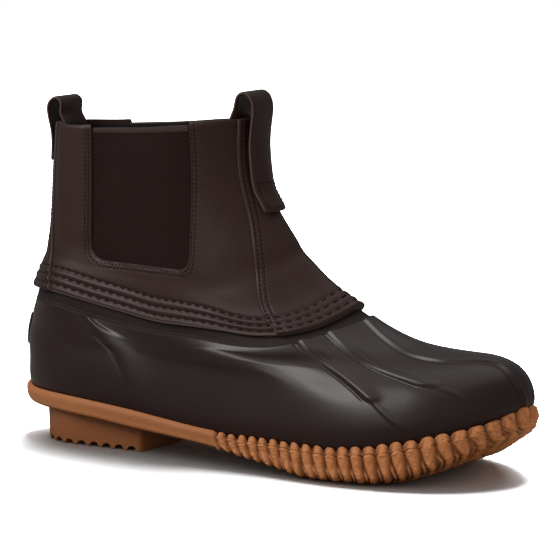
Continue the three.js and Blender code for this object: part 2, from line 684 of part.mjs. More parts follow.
// Elastic gores.
const GORE_LEVELS = [6.72, 7.1, 7.6, 8.2, 8.9, 9.7, 10.42];
const GORE_BEYOND = 0.035; // how far the cloth runs past the guide lines before it is trimmed
function goreSolid(side) {
  const front = GUIDES.find((g) => g.name === "gore_front");
  const back = GUIDES.find((g) => g.name === "gore_back");
  const columns = 9;
  const grid = (out) =>
    GORE_LEVELS.map((level) => {
      const u0 = guideU(front, level) - GORE_BEYOND;
      const u1 = guideU(back, level) + GORE_BEYOND;
      const row = [];
      for (let i = 0; i <= columns; i++) {
        const u = u0 + ((u1 - u0) * i) / columns;
        row.push(skin(side < 0 ? u : 1 - u, level, out));
      }
      return row;
    });
  const outer = -LEATHER_WALL - 2 * GAP;
  const patch = toManifold(patchSolid(grid(outer), grid(outer - GORE_WALL)));
  return fromManifold(patch.intersect(windowPrism(GORE_MARGIN)));
}

// An overlay between two guide lines, lying on the leather.
function overlaySolid(columnsOf, wall) {
  const grid = (out) => [
    ...[0.03, 0.4].map((step) =>
      columnsOf(EDGE_MIDDLE + step).map((u) => {
        const level = leatherEdge(u) + step;
        return skin(u, level, leatherOut(level) + out);
      })),
    ...SHAFT_LEVELS.map((level) => columnsOf(level).map((u) => skin(u, level, leatherOut(level) + out))),
  ];
  return patchSolid(grid(GAP + wall), grid(GAP));
}
const halfColumns = (level, name) => {
  const limit = guideU(GUIDES.find((g) => g.name === name), level);
  const near = 1e-9;
  const inside = (u) => (name === "back_strip" ? u >= limit - near : u <= limit + near);
  return lateralColumns(level).map((c) => c.u).filter(inside);
};
const frontColumns = (level) => {
  const half = halfColumns(level, "outer_vamp_rib");
  return [...half].reverse().map((u) => -u).concat(half.slice(1));
};
const backColumns = (level) => {
  const half = halfColumns(level, "back_strip");
  return half.concat([...half].reverse().slice(1).map((u) => 1 - u));
};

// Pull loops.
// A strap along a path in the boot's middle plane: out of the collar, over, and down inside. Each point
// of the path is x, z and how far the strap's sides are curled along X there.
const STRAP_COLUMNS = [-1, -0.45, 0.45, 1];
function strapSolid(path, middleY) {
  const points = path.map(([x, z, curl]) => new THREE.Vector3(x, curl, z));
  const curve = new THREE.CatmullRomCurve3(points, false, "centripetal");
  const steps = 18;
  const section = (out) => {
    const rows = [];
    for (let i = 0; i <= steps; i++) {
      const p = curve.getPointAt(i / steps);
      const t = curve.getTangentAt(i / steps);
      const normal = new THREE.Vector3(-t.z, 0, t.x).normalize().multiplyScalar(out);
      rows.push(
        STRAP_COLUMNS.map((s) => {
          const y = middleY + (s * STRAP_WIDTH) / 2;
          return new THREE.Vector3(p.x + normal.x + p.y * s * s, y, p.z + normal.z);
        }),
      );
    }
    return rows;
  };
  return patchSolid(section(STRAP_THICKNESS / 2), section(-STRAP_THICKNESS / 2));
}
// A strap's path: first flat on the overlay at the given levels, then by rows. along: distance from the
// collar's edge, as a share of the strap's reach outside (over 0) or inside (under 0); rise: height over
// the collar in LOOP_RISE; curl: share of the strap's full curl.
const FRONT_LOOP = [
  { along: 1.04, rise: -1.52, curl: 0.7 },
  { along: 0.93, rise: -0.76, curl: 0.45 },
  { along: 1.0, rise: 0, curl: 0.25 },
  { along: 0.95, rise: 0.61, curl: 0.1 },
  { along: 0.44, rise: 1.01, curl: 0 },
  { along: -0.38, rise: 0.92, curl: 0 },
  { along: -0.81, rise: 0.42, curl: 0.1 },
  { along: -1.0, rise: -0.11, curl: 0.7 },
  { along: -1.0, rise: -0.61, curl: 0.76 },
  { along: -0.81, rise: -1.38, curl: 0.76 },
];
const BACK_LOOP = [
  { along: 0.78, rise: -0.46, curl: 0.77 },
  { along: 1.0, rise: 0.23, curl: 0.4 },
  { along: 0.76, rise: 0.77, curl: 0 },
  { along: -0.14, rise: 1.0, curl: 0 },
  { along: -0.93, rise: 0.81, curl: 0 },
  { along: -0.79, rise: 0.38, curl: 0.15 },
  { along: -0.93, rise: 0.08, curl: 0.7 },
  { along: -1.05, rise: -0.27, curl: 1 },
  { along: -0.95, rise: -1.08, curl: 1 },
];
const STRAP_ROOM = 0.7; // between a strap and the overlay or the lining
const strapOut = 2 * GAP + OVERLAY_WALL + STRAP_THICKNESS / 2 + STRAP_ROOM;
const strapIn = LEATHER_WALL + 2 * GAP + STRAP_THICKNESS / 2 + STRAP_ROOM;
function strapPath(u, levels, rows, stand, fullCurl) {
  const away = u === 0 ? 1 : -1;
  const edge = last(u, COLLAR);
  const flat = levels.map((level) => {
    const p = skin(u, level, strapOut);
    return [p.x, p.z, -away * fullCurl];
  });
  const bent = rows.map((row) => {
    const reach = row.along > 0 ? strapOut + stand : strapIn;
    return [edge.x + away * row.along * reach, edge.z + row.rise * LOOP_RISE, -away * row.curl * fullCurl];
  });
  return flat.concat(bent);
}
const frontPath = strapPath(0, [8.2, 8.5, 8.8], FRONT_LOOP, FRONT_LOOP_STAND, FRONT_LOOP_CURL);
const backPath = strapPath(0.5, [9.4, 9.7], BACK_LOOP, BACK_LOOP_STAND, BACK_LOOP_CURL);

// Bare patch at the back of the heel.
const HEEL_PATCH_LEVELS = [1.5, 1.9, 2.4, 2.9, 3.35];
const HEEL_PATCH_COLUMNS = [-1, -0.5, 0, 0.5, 1];
function heelPatchSolid() {
  const half = (HEEL_PATCH_WIDTH / 2) * 0.9 * MM_TO_U;
  const grid = (out) =>
    HEEL_PATCH_LEVELS.map((level) => HEEL_PATCH_COLUMNS.map((t) => skin(0.5 + t * half, level, out)));
  return patchSolid(grid(GAP + HEEL_PATCH_THICKNESS), grid(GAP));
}

// Assembly.
const boot = new THREE.Group();
boot.name = "duck_boot";
function add(name, geometry, colour, roughness) {
  const material = new THREE.MeshStandardMaterial({ color: colour, roughness, metalness: 0 });
  const mesh = new THREE.Mesh(geometry, material);
  mesh.name = name;
  boot.add(mesh);
}
add("outsole", outsoleSolid, COLOURS.gum, 0.6);
add("heel", heelSolid, COLOURS.heelGum, 0.6);
add("rubber_shell", shellSolid, COLOURS.rubber, 0.35);
add("insole", insoleSolid, COLOURS.lining, 0.9);
add("shaft", shaftSolid, COLOURS.leather, 0.5);
add("gore_lateral", goreSolid(-1), COLOURS.gore, 0.85);
add("gore_medial", goreSolid(1), COLOURS.gore, 0.85);
add("front_panel", overlaySolid(frontColumns, OVERLAY_WALL), COLOURS.leather, 0.5);
add("back_strip", overlaySolid(backColumns, OVERLAY_WALL), COLOURS.leather, 0.5);
add("front_pull_loop", strapSolid(frontPath, last(0, COLLAR).y), COLOURS.leather, 0.5);
add("back_pull_loop", strapSolid(backPath, last(0.5, COLLAR).y), COLOURS.leather, 0.5);
add("heel_patch", heelPatchSolid(), COLOURS.rubber, 0.4);

// The origin is on the ground, under the middle of the boot.
const middle = new THREE.Box3().setFromObject(boot).getCenter(new THREE.Vector3());
boot.children.forEach((mesh) => {
  mesh.geometry.translate(-middle.x, -middle.y, 0);
  mesh.geometry.computeVertexNormals();
});

export default boot;
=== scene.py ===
import math

import bmesh
import bpy
import numpy as np
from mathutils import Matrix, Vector


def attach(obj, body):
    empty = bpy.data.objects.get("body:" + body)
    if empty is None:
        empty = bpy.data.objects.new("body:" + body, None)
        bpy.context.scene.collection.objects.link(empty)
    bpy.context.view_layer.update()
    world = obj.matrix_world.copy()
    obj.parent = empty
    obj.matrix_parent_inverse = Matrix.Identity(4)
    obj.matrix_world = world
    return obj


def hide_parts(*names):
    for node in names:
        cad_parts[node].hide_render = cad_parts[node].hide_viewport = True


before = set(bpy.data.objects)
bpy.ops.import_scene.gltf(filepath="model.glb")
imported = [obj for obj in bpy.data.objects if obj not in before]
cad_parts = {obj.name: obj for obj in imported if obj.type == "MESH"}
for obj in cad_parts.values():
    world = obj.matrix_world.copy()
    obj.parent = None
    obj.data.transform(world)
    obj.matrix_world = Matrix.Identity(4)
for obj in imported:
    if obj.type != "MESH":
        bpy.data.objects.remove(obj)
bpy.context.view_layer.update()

# The rubber foot: one moulded hollow shell, pressed over a last and trimmed at its rolled lip.
# Its surface is the last's, so the last is set up here, in millimetres: rings up the boot from the
# sole (level -0.5) to the collar (level 10.5), each a closed curve from the toe's tip (u = 0) down
# the outer side to the back (u = 0.5) and up the inner side.
LENGTH = 300.0
BALL_WIDTH = 108.0
BOOT_HEIGHT = 180.0
HEEL_HEIGHT = 18.0
TOE_SPRING = 26.0
TIP_SWING = 0.12
FLOOR, COLLAR = -0.5, 10.5
MIDDLE = np.array([148.21, -0.1, 0.0])

# Stations from the back to the toe: share of the length, outer and inner widths, share of the way round.
STATIONS = np.array([
    (0.0, 0, 0, 0.5),
    (0.03, 0.39, 0.39, 0.467),
    (0.13, 0.66, 0.65, 0.42),
    (0.3, 0.71, 0.64, 0.347),
    (0.47, 0.81, 0.67, 0.274),
    (0.62, 0.95, 0.83, 0.208),
    (0.75, 1.0, 0.99, 0.152),
    (0.87, 0.85, 0.93, 0.1),
    (0.96, 0.47, 0.59, 0.05),
    (1.0, 0, 0, 0),
])
ALONG, LATERAL, MEDIAL, STATION_U = STATIONS.T

# Heights are measured from BASE, at six zones from the back to the front.
BASE = (HEEL_HEIGHT, 0.97 * HEEL_HEIGHT, 0.56 * HEEL_HEIGHT, 1.5, 0.35 * TOE_SPRING, 0.77 * TOE_SPRING)
# level; back and front ends, shares of the length; rise over BASE, shares of the boot's height, at the
# six zones; widths at back, heel, waist, ball and toe; share of the last's swing.
RINGS = [
    (-0.5, 0.015, 0.968, (0.039, 0.036, 0.025, 0.042, 0.061, 0.028), (0.87, 0.87, 0.86, 0.88, 0.86), 0.9),
    (0, -0.002, 0.988, (0.061, 0.053, 0.044, 0.097, 0.122, 0.078), (0.93, 0.93, 0.93, 0.93, 0.91), 0.9),
    (1, -0.006, 0.996, (0.133, 0.125, 0.122, 0.158, 0.183, 0.144), (0.98, 0.97, 0.94, 0.95, 0.9), 0.8),
    (2, -0.006, 0.97, (0.206, 0.186, 0.194, 0.231, 0.25, 0.211), (0.98, 0.95, 0.88, 0.88, 0.78), 0.7),
    (3, 0.0, 0.9, (0.256, 0.236, 0.244, 0.286, 0.283, 0.239), (0.93, 0.91, 0.82, 0.78, 0.66), 0.7),
    (4, 0.004, 0.8, (0.289, 0.269, 0.272, 0.319, 0.303, 0.253), (0.9, 0.88, 0.76, 0.7, 0.52), 0.6),
    (5, 0.011, 0.695, (0.317, 0.308, 0.283, 0.331, 0.356, 0.319), (0.87, 0.85, 0.74, 0.62, 0.44), 0.4),
    (6, 0.023, 0.608, (0.389, 0.381, 0.372, 0.414, 0.433, 0.413), (0.8, 0.8, 0.7, 0.58, 0.42), 0.3),
    (7.5, 0.046, 0.536, (0.522, 0.519, 0.539, 0.586, 0.572, 0.533), (0.72, 0.7, 0.66, 0.52, 0.38), 0.1),
    (9, 0.052, 0.475, (0.689, 0.692, 0.728, 0.775, 0.744, 0.694), (0.62, 0.62, 0.6, 0.48, 0.38), 0),
    (10.5, 0.057, 0.452, (0.85, 0.853, 0.908, 0.973, 0.937, 0.88), (0.56, 0.55, 0.58, 0.5, 0.46), 0),
]
LEVELS = np.array([ring[0] for ring in RINGS])
ROUND_U = np.concatenate([STATION_U[::-1], 1 - STATION_U[1:9]])


def over_stations(back, heel, waist, ball, toe, front):
    zones = np.array([back, heel, waist, ball, toe])
    halves = (zones[:-1] + zones[1:]) / 2
    spread = np.empty(9)
    spread[0::2] = zones
    spread[1::2] = halves
    return np.append(spread, front)


def ring_points(back, front, heights, widths, swing):
    w = over_stations(*widths, widths[-1])
    w[1] = widths[0]
    x = (back + ALONG * (front - back)) * LENGTH
    half = (LATERAL + MEDIAL) / 2 * w * BALL_WIDTH / 2
    lean = (MEDIAL - LATERAL) / 2
    lean[9] = TIP_SWING
    middle = lean * swing * BALL_WIDTH / 2
    outer = np.stack([x, middle - half, heights], 1)[::-1]
    inner = np.stack([x, middle + half, heights], 1)[1:9]
    return np.concatenate([outer, inner])


def bends_of(knots, period):
    """Matrix that turns the values at the knots into the bends of a smooth curve through them."""
    n = len(knots)
    left = np.zeros((n, n))
    right = np.zeros((n, n))
    for i in range(n):
        if not period and i in (0, n - 1):
            left[i, i] = 1
            continue
        before, after = (i - 1) % n, (i + 1) % n
        h0 = knots[i] - knots[before] + (period if i == 0 else 0)
        h1 = knots[after] - knots[i] + (period if after == 0 else 0)
        left[i, before] += h0
        left[i, i] += 2 * (h0 + h1)
        left[i, after] += h1
        right[i, before] += 6 / h0
        right[i, i] -= 6 / h0 + 6 / h1
        right[i, after] += 6 / h1
    return np.linalg.solve(left, right)


def between(a, b, bend_a, bend_b, h, t):
    s = 1 - t
    return s * a + t * b + ((s**3 - s) * bend_a + (t**3 - t) * bend_b) * h * h / 6


NET = np.array([
    ring_points(back, front, over_stations(*BASE) + over_stations(*rise) * BOOT_HEIGHT, widths, swing)
    for _, back, front, rise, widths, swing in RINGS
])
NET_BENDS = np.einsum("ij,jkc->ikc", bends_of(LEVELS, 0), NET)
ROUND_BENDS = bends_of(ROUND_U, 1.0)


def span_of(knots, at):
    """The index of the knot before each place."""
    return np.clip(np.searchsorted(knots, at, side="right") - 1, 0, len(knots) - 2)


def round_curve(points, bends, u):
    """Points at u of closed curves given by their own 18 points each."""
    u = np.mod(u, 1.0)
    j = np.clip(np.searchsorted(ROUND_U, u, side="right") - 1, 0, len(ROUND_U) - 1)
    k = (j + 1) % len(ROUND_U)
    h = np.where(k == 0, 1.0 - ROUND_U[j], ROUND_U[k] - ROUND_U[j])
    t = (u - ROUND_U[j]) / h
    pick = np.arange(len(u))
    return between(points[pick, j], points[pick, k], bends[pick, j], bends[pick, k], h[:, None], t[:, None])


def lofted(u, level):
    flat = level.ravel()
    i = span_of(LEVELS, flat)
    h = LEVELS[i + 1] - LEVELS[i]
    t = ((flat - LEVELS[i]) / h)[:, None, None]
    rings = between(NET[i], NET[i + 1], NET_BENDS[i], NET_BENDS[i + 1], h[:, None, None], t)
    bends = np.einsum("ij,njc->nic", ROUND_BENDS, rings, optimize=True)
    return round_curve(rings, bends, u.ravel()).reshape(u.shape + (3,))


def side_of(u):
    """The share of the way round, counted from the toe's tip on either side."""
    return np.minimum(np.mod(u, 1.0), 1 - np.mod(u, 1.0))


# The sides under the lip, where the rings crowd together, are ruled straight between two levels.
RULED_FROM, RULED_TO = 3.45, 4.92
RULED_FRONT, RULED_BACK = 0.12, 0.44


def last(u, level):
    u, level = np.broadcast_arrays(np.asarray(u, float), np.asarray(level, float))
    place = lofted(u, level)
    side = side_of(u)
    t = (level - RULED_FROM) / (RULED_TO - RULED_FROM)
    ruled = (t > 0) & (t < 1) & (side > RULED_FRONT) & (side < RULED_BACK)
    if ruled.any():
        low = lofted(u[ruled], np.full(ruled.sum(), RULED_FROM))
        high = lofted(u[ruled], np.full(ruled.sum(), RULED_TO))
        weight = smooth((side[ruled] - RULED_FRONT) / 0.07) * smooth((RULED_BACK - side[ruled]) / 0.05)
        straight = low + (high - low) * t[ruled][:, None]
        place[ruled] += (straight - place[ruled]) * weight[:, None]
    return place


def surface(u, level):
    """Place, outward normal, and how many millimetres one u and one level are, on the last."""
    u, level = np.broadcast_arrays(np.asarray(u, float), np.asarray(level, float))
    step = 0.0015
    low = np.maximum(FLOOR, level - 0.04)
    high = np.minimum(COLLAR, level + 0.04)
    along = last(u - step, level) - last(u + step, level)
    rise = last(u, high) - last(u, low)
    normal = np.cross(along, rise)
    normal /= np.linalg.norm(normal, axis=-1, keepdims=True)
    per_u = np.linalg.norm(along, axis=-1) / (2 * step)
    per_level = np.linalg.norm(rise, axis=-1) / (high - low)
    return last(u, level), normal, per_u, per_level


def skin(u, level, out):
    place, normal, _, _ = surface(u, level)
    return place + normal * np.asarray(out)[..., None]


def smooth(t):
    t = np.clip(t, 0, 1)
    return t * t * (3 - 2 * t)


def bump(distance, width):
    return np.exp(-(distance / width) ** 2)


def curve_at(rows, spots):
    """The smooth value at spots along a line that is given as rows of spot and value."""
    knots, values = np.array(rows).T
    bends = bends_of(knots, 0) @ values
    at = np.clip(spots, knots[0], knots[-1])
    i = span_of(knots, at)
    h = knots[i + 1] - knots[i]
    return between(values[i], values[i + 1], bends[i], bends[i + 1], h, (at - knots[i]) / h)


# Two lines round the boot, as rows of share of the way round and level: the leather's cut edge, and the
# rubber's rolled lip below it.
LEATHER_EDGE = ((0.0, 5.25), (0.05, 5.22), (0.095, 5.20), (0.125, 5.36), (0.155, 5.62), (0.2, 5.68), (0.25, 5.68),
                (0.3, 5.72), (0.36, 5.66), (0.42, 5.70), (0.5, 5.60))
LIP_LINE = ((0.0, 5.0), (0.05, 5.02), (0.09, 4.98), (0.125, 4.98), (0.155, 5.15), (0.2, 5.27), (0.25, 5.3),
            (0.3, 5.26), (0.36, 5.10), (0.42, 5.16), (0.5, 5.12))


def leather_edge(u):
    return curve_at(LEATHER_EDGE, side_of(u))


def lip_line(u):
    return curve_at(LIP_LINE, side_of(u))


def upright(u):
    """How far the wall under the lip stands upright: 1 along the sides, 0 at the toe and the heel."""
    return smooth((side_of(u) - 0.13) / 0.14) * smooth((0.46 - side_of(u)) / 0.05)


SHELL_WALL = 2.2
SIDE_FILL, FILL_FROM = 2.6, 2.2
FLANGE = -0.3
# The moulded ribs, as rows of level and share of the way round: two on the vamp's side, blunt low down
# and thin from there on, the edge of the raised middle, and the edge of the heel's counter.
OUTER_RIB = ((0.2, 0.099), (0.6, 0.107), (1.3, 0.1195), (1.8, 0.1265), (2.3, 0.131), (2.9, 0.132), (3.6, 0.127),
             (4.3, 0.114), (5.0, 0.099))
INNER_RIB = ((1.0, 0.0565), (1.4, 0.0618), (1.83, 0.0733), (2.1, 0.0822), (2.45, 0.0908), (2.8, 0.0958),
             (3.3, 0.0962), (3.93, 0.087), (4.43, 0.0767), (5.0, 0.0655))
MIDDLE_EDGE = ((0.3, 0.0080), (0.9, 0.0105), (1.4, 0.0130), (1.95, 0.0135), (2.4, 0.0150), (2.6, 0.0195),
               (2.83, 0.0285), (3.05, 0.0385), (3.4, 0.0462), (3.9, 0.0433), (4.23, 0.0367), (4.6, 0.0285),
               (5.0, 0.0175))
HEEL_LINE = ((0.0, 0.343), (0.8, 0.350), (1.6, 0.3565), (2.7, 0.363), (3.4, 0.3665), (4.3, 0.3675), (5.0, 0.370))
RIB_RISE, RIB_FLANK, RIB_FALL, RIB_GROOVE, GROOVE_WIDTH = 1.45, 2.5, 4.2, 0.8, 0.75
OUTER_BLUNT, INNER_BLUNT = 1.75, 1.95
# The heel rib's height over the wall, as rows of level and millimetres: it grows out of the lip.
HEEL_RISE = ((-0.5, 0.0), (0.2, 0.8), (1.2, 1.0), (2.1, 1.1), (3.2, 1.3), (4.2, 1.6), (4.8, 1.5), (5.2, 1.0))
HEEL_FACE, HEEL_FRONT, HEEL_SPREAD, HEEL_GROOVE = 2.2, 2.6, 9.0, 0.5
RIDGE_RISE, RIDGE_EDGE = 0.9, 1.0
# Dents: share of the way round, level, depth, spreads.
VAMP_DENTS = ((0.168, 3.4, 0.35, 0.016, 0.6), (0.186, 2.9, 0.30, 0.014, 0.55), (0.152, 2.6, 0.35, 0.013, 0.5),
              (0.116, 2.9, 0.30, 0.010, 0.5), (0.108, 1.9, 0.25, 0.010, 0.4))


def shell_relief(u, level, per_u, per_level):
    """Height of the moulded ribs over the plain shell, in millimetres."""
    side = side_of(u)

    def offset(rows, slope_step=0.02):
        here = curve_at(rows, level)
        slope = (curve_at(rows, level + slope_step) - here) / slope_step
        run = slope * per_u / per_level
        return (side - here) * per_u / np.sqrt(1 + run**2)

    relief = 0.0
    for rows, blunt, tall, gone in ((OUTER_RIB, OUTER_BLUNT, 1.0, 0.1), (INNER_RIB, INNER_BLUNT, 0.9, 1.0)):
        away = offset(rows)
        broad = smooth((level - blunt) / 0.22)
        height = (0.3 + 0.7 * broad) * smooth((level - gone) / 0.5) * tall
        thin = 0.5 + 0.5 * broad
        crest = np.where(away > 0, bump(away, RIB_FLANK * thin), bump(away, RIB_FALL * thin))
        relief = relief + RIB_RISE * height * crest
        relief -= RIB_GROOVE * height * bump(away - 1.5 * RIB_FLANK * thin, GROOVE_WIDTH)
    heel = offset(HEEL_LINE)
    front = HEEL_FRONT + HEEL_SPREAD * smooth((5.0 - level) / 1.5)
    counter = np.where(heel > 0, bump(heel, HEEL_FACE), bump(heel, front))
    relief += curve_at(HEEL_RISE, level) * counter
    relief -= HEEL_GROOVE * bump(heel - 3.9, 1.2) * smooth((3.9 - level) / 0.9) * smooth((level + 0.1) / 0.4)
    # The pressed rubber is slightly uneven where the vamp bulges.
    for dent_u, dent_level, depth, wide, high in VAMP_DENTS:
        relief -= depth * bump(side - dent_u, wide) * bump(level - dent_level, high)
    middle = offset(MIDDLE_EDGE)
    ridge_fade = smooth((level - 0.2) / 0.5)
    relief += (RIDGE_RISE * smooth(0.5 - middle / RIDGE_EDGE) + 0.45 * bump(middle + 0.6, 1.5)) * ridge_fade
    relief -= 0.4 * bump(middle - 1.5, 0.9) * ridge_fade
    return relief


def even_columns(count, weight=np.ones_like):
    """u values round the boot, closer together where weight is larger."""
    fine = np.linspace(0, 1, 4001)
    total = np.concatenate([[0], np.cumsum(weight((fine[1:] + fine[:-1]) / 2))])
    return np.interp(np.arange(count) / count * total[-1], total, fine)


def add_mesh(name, points, faces, materials, face_material=None, sharp=None):
    """A mesh object from points in millimetres of the last's frame."""
    mesh = bpy.data.meshes.new(name)
    mesh.from_pydata(((points - MIDDLE) * 0.001).tolist(), [], faces.tolist())
    mesh.polygons.foreach_set("use_smooth", np.ones(len(mesh.polygons), dtype=bool))
    for material in materials:
        mesh.materials.append(material)
    if face_material is not None:
        mesh.polygons.foreach_set("material_index", face_material.astype(np.int32))
    if sharp is not None:
        mesh.set_sharp_from_angle(angle=math.radians(sharp))
    mesh.update()
    piece = bpy.data.objects.new(name, mesh)
    bpy.context.scene.collection.objects.link(piece)
    return piece


def grid_faces(rows, columns, close_rows, close_columns):
    r = np.arange(rows if close_rows else rows - 1)
    c = np.arange(columns if close_columns else columns - 1)
    r, c = np.meshgrid(r, c, indexing="ij")
    r2, c2 = (r + 1) % rows, (c + 1) % columns
    quads = np.stack([r * columns + c, r * columns + c2, r2 * columns + c2, r2 * columns + c], -1)
    return quads.reshape(-1, 4)


def ring_solid(name, rings, materials, row_material=None):
    """A closed wall: rings go up the outside and down the inside."""
    rows, columns = rings.shape[:2]
    which = None if row_material is None else np.repeat(row_material, columns)
    return add_mesh(name, rings.reshape(-1, 3), grid_faces(rows, columns, True, True), materials, which)


def weld(piece):
    """Joins points that lie together, and turns every face outward."""
    shape = bmesh.new()
    shape.from_mesh(piece.data)
    bmesh.ops.remove_doubles(shape, verts=shape.verts, dist=2e-6)
    bmesh.ops.recalc_face_normals(shape, faces=shape.faces)
    shape.to_mesh(piece.data)
    shape.free()
    return piece


# Shader helpers: a material's node tree, and node groups that more than one material uses.
def new_node(tree, kind, inputs=(), **settings):
    node = tree.nodes.new(kind)
    for key, value in settings.items():
        setattr(node, key, value)
    for key, value in dict(inputs).items():
        feed(tree, value, node.inputs[key])
    return node


def new_group(name, inputs, outputs):
    tree = bpy.data.node_groups.new(name, "ShaderNodeTree")
    for label, kind, value in inputs:
        socket = tree.interface.new_socket(label, in_out="INPUT", socket_type=kind)
        if value is not None:
            socket.default_value = value
    for label, kind in outputs:
        tree.interface.new_socket(label, in_out="OUTPUT", socket_type=kind)
    return tree, tree.nodes.new("NodeGroupInput"), tree.nodes.new("NodeGroupOutput")


def place_group(tree, group, inputs):
    return new_node(tree, "ShaderNodeGroup", inputs, node_tree=group)


def new_material(name):
    material = bpy.data.materials.new(name)
    material.use_nodes = True
    tree = material.node_tree
    shader = next(n for n in tree.nodes if n.type == "BSDF_PRINCIPLED")
    where = tree.nodes.new("ShaderNodeTexCoord").outputs["Object"]
    return material, tree, shader, where


def feed(tree, value, socket):
    """Links a socket to another socket's value, or sets it to a plain one."""
    if isinstance(value, bpy.types.NodeSocket):
        tree.links.new(value, socket)
    else:
        socket.default_value = value


def maths(tree, operation, *values, clamp=False):
    node = new_node(tree, "ShaderNodeMath", operation=operation, use_clamp=clamp)
    for socket, value in zip(node.inputs, values):
        feed(tree, value, socket)
    return node.outputs[0]


def mix_colours(tree, factor, first, second):
    node = new_node(tree, "ShaderNodeMix", data_type="RGBA")
    for number, value in ((0, factor), (6, first), (7, second)):
        feed(tree, value, node.inputs[number])
    return node.outputs[2]


def noise(tree, where, scale, detail, roughness=0.5):
    return new_node(tree, "ShaderNodeTexNoise", {"Vector": where, "Scale": scale, "Detail": detail,
                                                 "Roughness": roughness}).outputs["Fac"]


def bumped(tree, shader, height, distance, strength):
    node = new_node(tree, "ShaderNodeBump", {"Height": height, "Distance": distance, "Strength": strength})
    tree.links.new(node.outputs["Normal"], shader.inputs["Normal"])


def finished(tree, shader, colour, roughness, gloss):
    """The surface's colour, how rough it is, and how strongly it mirrors."""
    tree.links.new(colour, shader.inputs["Base Color"])
    feed(tree, roughness, shader.inputs["Roughness"])
    shader.inputs["Specular IOR Level"].default_value = gloss


def toned(tree, where, patch_scale, speck_scale, speck_share):
    return place_group(tree, mottle, {"Vector": where, "Patch Scale": patch_scale,
                                      "Speck Scale": speck_scale, "Speck Share": speck_share})


# Handling marks and uneven tone, shared by rubber, gum and leather: soft patches and sparse specks.
mottle, mottle_in, mottle_out = new_group(
    "uneven_tone",
    [("Vector", "NodeSocketVector", None), ("Patch Scale", "NodeSocketFloat", 30.0),
     ("Speck Scale", "NodeSocketFloat", 900.0), ("Speck Share", "NodeSocketFloat", 0.3)],
    [("Patches", "NodeSocketFloat"), ("Specks", "NodeSocketFloat")],
)
patches = noise(mottle, mottle_in.outputs["Vector"], mottle_in.outputs["Patch Scale"], 5.0, 0.55)
specks = noise(mottle, mottle_in.outputs["Vector"], mottle_in.outputs["Speck Scale"], 2.0, 0.6)
rarity = maths(mottle, "SUBTRACT", 0.8, maths(mottle, "MULTIPLY", mottle_in.outputs["Speck Share"], 0.4))
speck_cut = maths(mottle, "SUBTRACT", specks, rarity)
mottle.links.new(patches, mottle_out.inputs["Patches"])
mottle.links.new(maths(mottle, "MULTIPLY", speck_cut, 8.0, clamp=True), mottle_out.inputs["Specks"])

flange_rubber, tree, shader, where = new_material("flange_rubber")
tone = toned(tree, where, 60.0, 1400.0, 0.3)
colour = mix_colours(tree, tone.outputs["Patches"], (0.0085, 0.0046, 0.0040, 1), (0.0175, 0.0100, 0.0088, 1))
bumped(tree, shader, noise(tree, where, 260.0, 5.0, 0.65), 0.0005, 0.7)
finished(tree, shader, colour, 0.7, 0.22)

rubber, tree, shader, where = new_material("moulded_rubber")
tone = toned(tree, where, 28.0, 1400.0, 0.25)
colour = mix_colours(tree, tone.outputs["Patches"], (0.0125, 0.0058, 0.0052, 1), (0.0168, 0.0082, 0.0073, 1))
pitted = maths(tree, "SUBTRACT", noise(tree, where, 420.0, 4.0),
               maths(tree, "MULTIPLY", tone.outputs["Specks"], 0.6))
bumped(tree, shader, pitted, 0.00006, 0.6)
finished(tree, shader, colour, maths(tree, "MULTIPLY_ADD", tone.outputs["Patches"], 0.10, 0.32), 0.33)

SHELL_COLUMNS = 600
SIDE_ROWS, ROLL_ROWS = 92, 15
shell_u = even_columns(SHELL_COLUMNS, lambda u: 1 + 1.3 * (side_of(u) < 0.16))
shell_lip = lip_line(shell_u)[None, :]
ll = FLOOR + np.linspace(0, 1, SIDE_ROWS)[:, None] * (shell_lip - FLOOR)
uu = np.broadcast_to(shell_u, ll.shape)
roll = np.linspace(0, 1, ROLL_ROWS + 1)[1:, None] ** 1.6
roll_levels = shell_lip + roll * (leather_edge(shell_u)[None, :] + 0.03 - shell_lip)
uu = np.concatenate([uu, np.broadcast_to(shell_u, roll_levels.shape)])
ll = np.concatenate([ll, roll_levels])
place, normal, per_u, per_level = surface(uu, ll)
out = shell_relief(uu, ll, per_u, per_level)
# Along the sides the wall is filled out, so that it stands straight up to the lip.
wall_foot = last(shell_u, FILL_FROM)
wall_top = place[SIDE_ROWS - 1] + normal[SIDE_ROWS - 1] * SIDE_FILL
up_wall = np.clip((place[..., 2:] - wall_foot[:, 2:]) / (wall_top[:, 2:] - wall_foot[:, 2:]), 0, 1)
filled = wall_foot + (wall_top - wall_foot) * up_wall
filled[..., 2] = place[..., 2]
on_wall = (ll > FILL_FROM) * upright(uu) * smooth((ll - FILL_FROM) / 0.8)
place = place + (filled - place) * on_wall[..., None]
# The lip: the wall's rounded top, and above it a thinner flange that is set in under the leather's edge.
rounded_top = np.sqrt(np.clip(1 - (roll / 0.22) ** 2, 0, 1))
flange = FLANGE - (SIDE_FILL - 0.3) * upright(shell_u)[None, :] * smooth(roll / 0.3)
flange = flange + 0.12 * np.sin(shell_u * 2 * np.pi * 7 + 1.0)[None, :]
out[SIDE_ROWS:] = flange + (out[SIDE_ROWS - 1][None, :] - flange) * rounded_top
outside = place + normal * out[..., None]
FLAP_OUT, FLAP_WALL = -2.6, 1.5
flap_foot = leather_edge(shell_u)
flap_levels = np.stack([flap_foot + 0.05, flap_foot + 0.4, np.full(SHELL_COLUMNS, 6.35)])
flap = np.concatenate([skin(shell_u[None, :], flap_levels, FLAP_OUT),
                       skin(shell_u[None, :], flap_levels[::-1], FLAP_OUT - FLAP_WALL)])
inner_levels = np.array([4.7, 4.0, 3.2, 2.4, 1.6, 0.9, 0.3, -0.15, FLOOR])[:, None]
inside = skin(shell_u[None, :], inner_levels, -SHELL_WALL)
shell_rows = np.concatenate([outside, flap, inside])
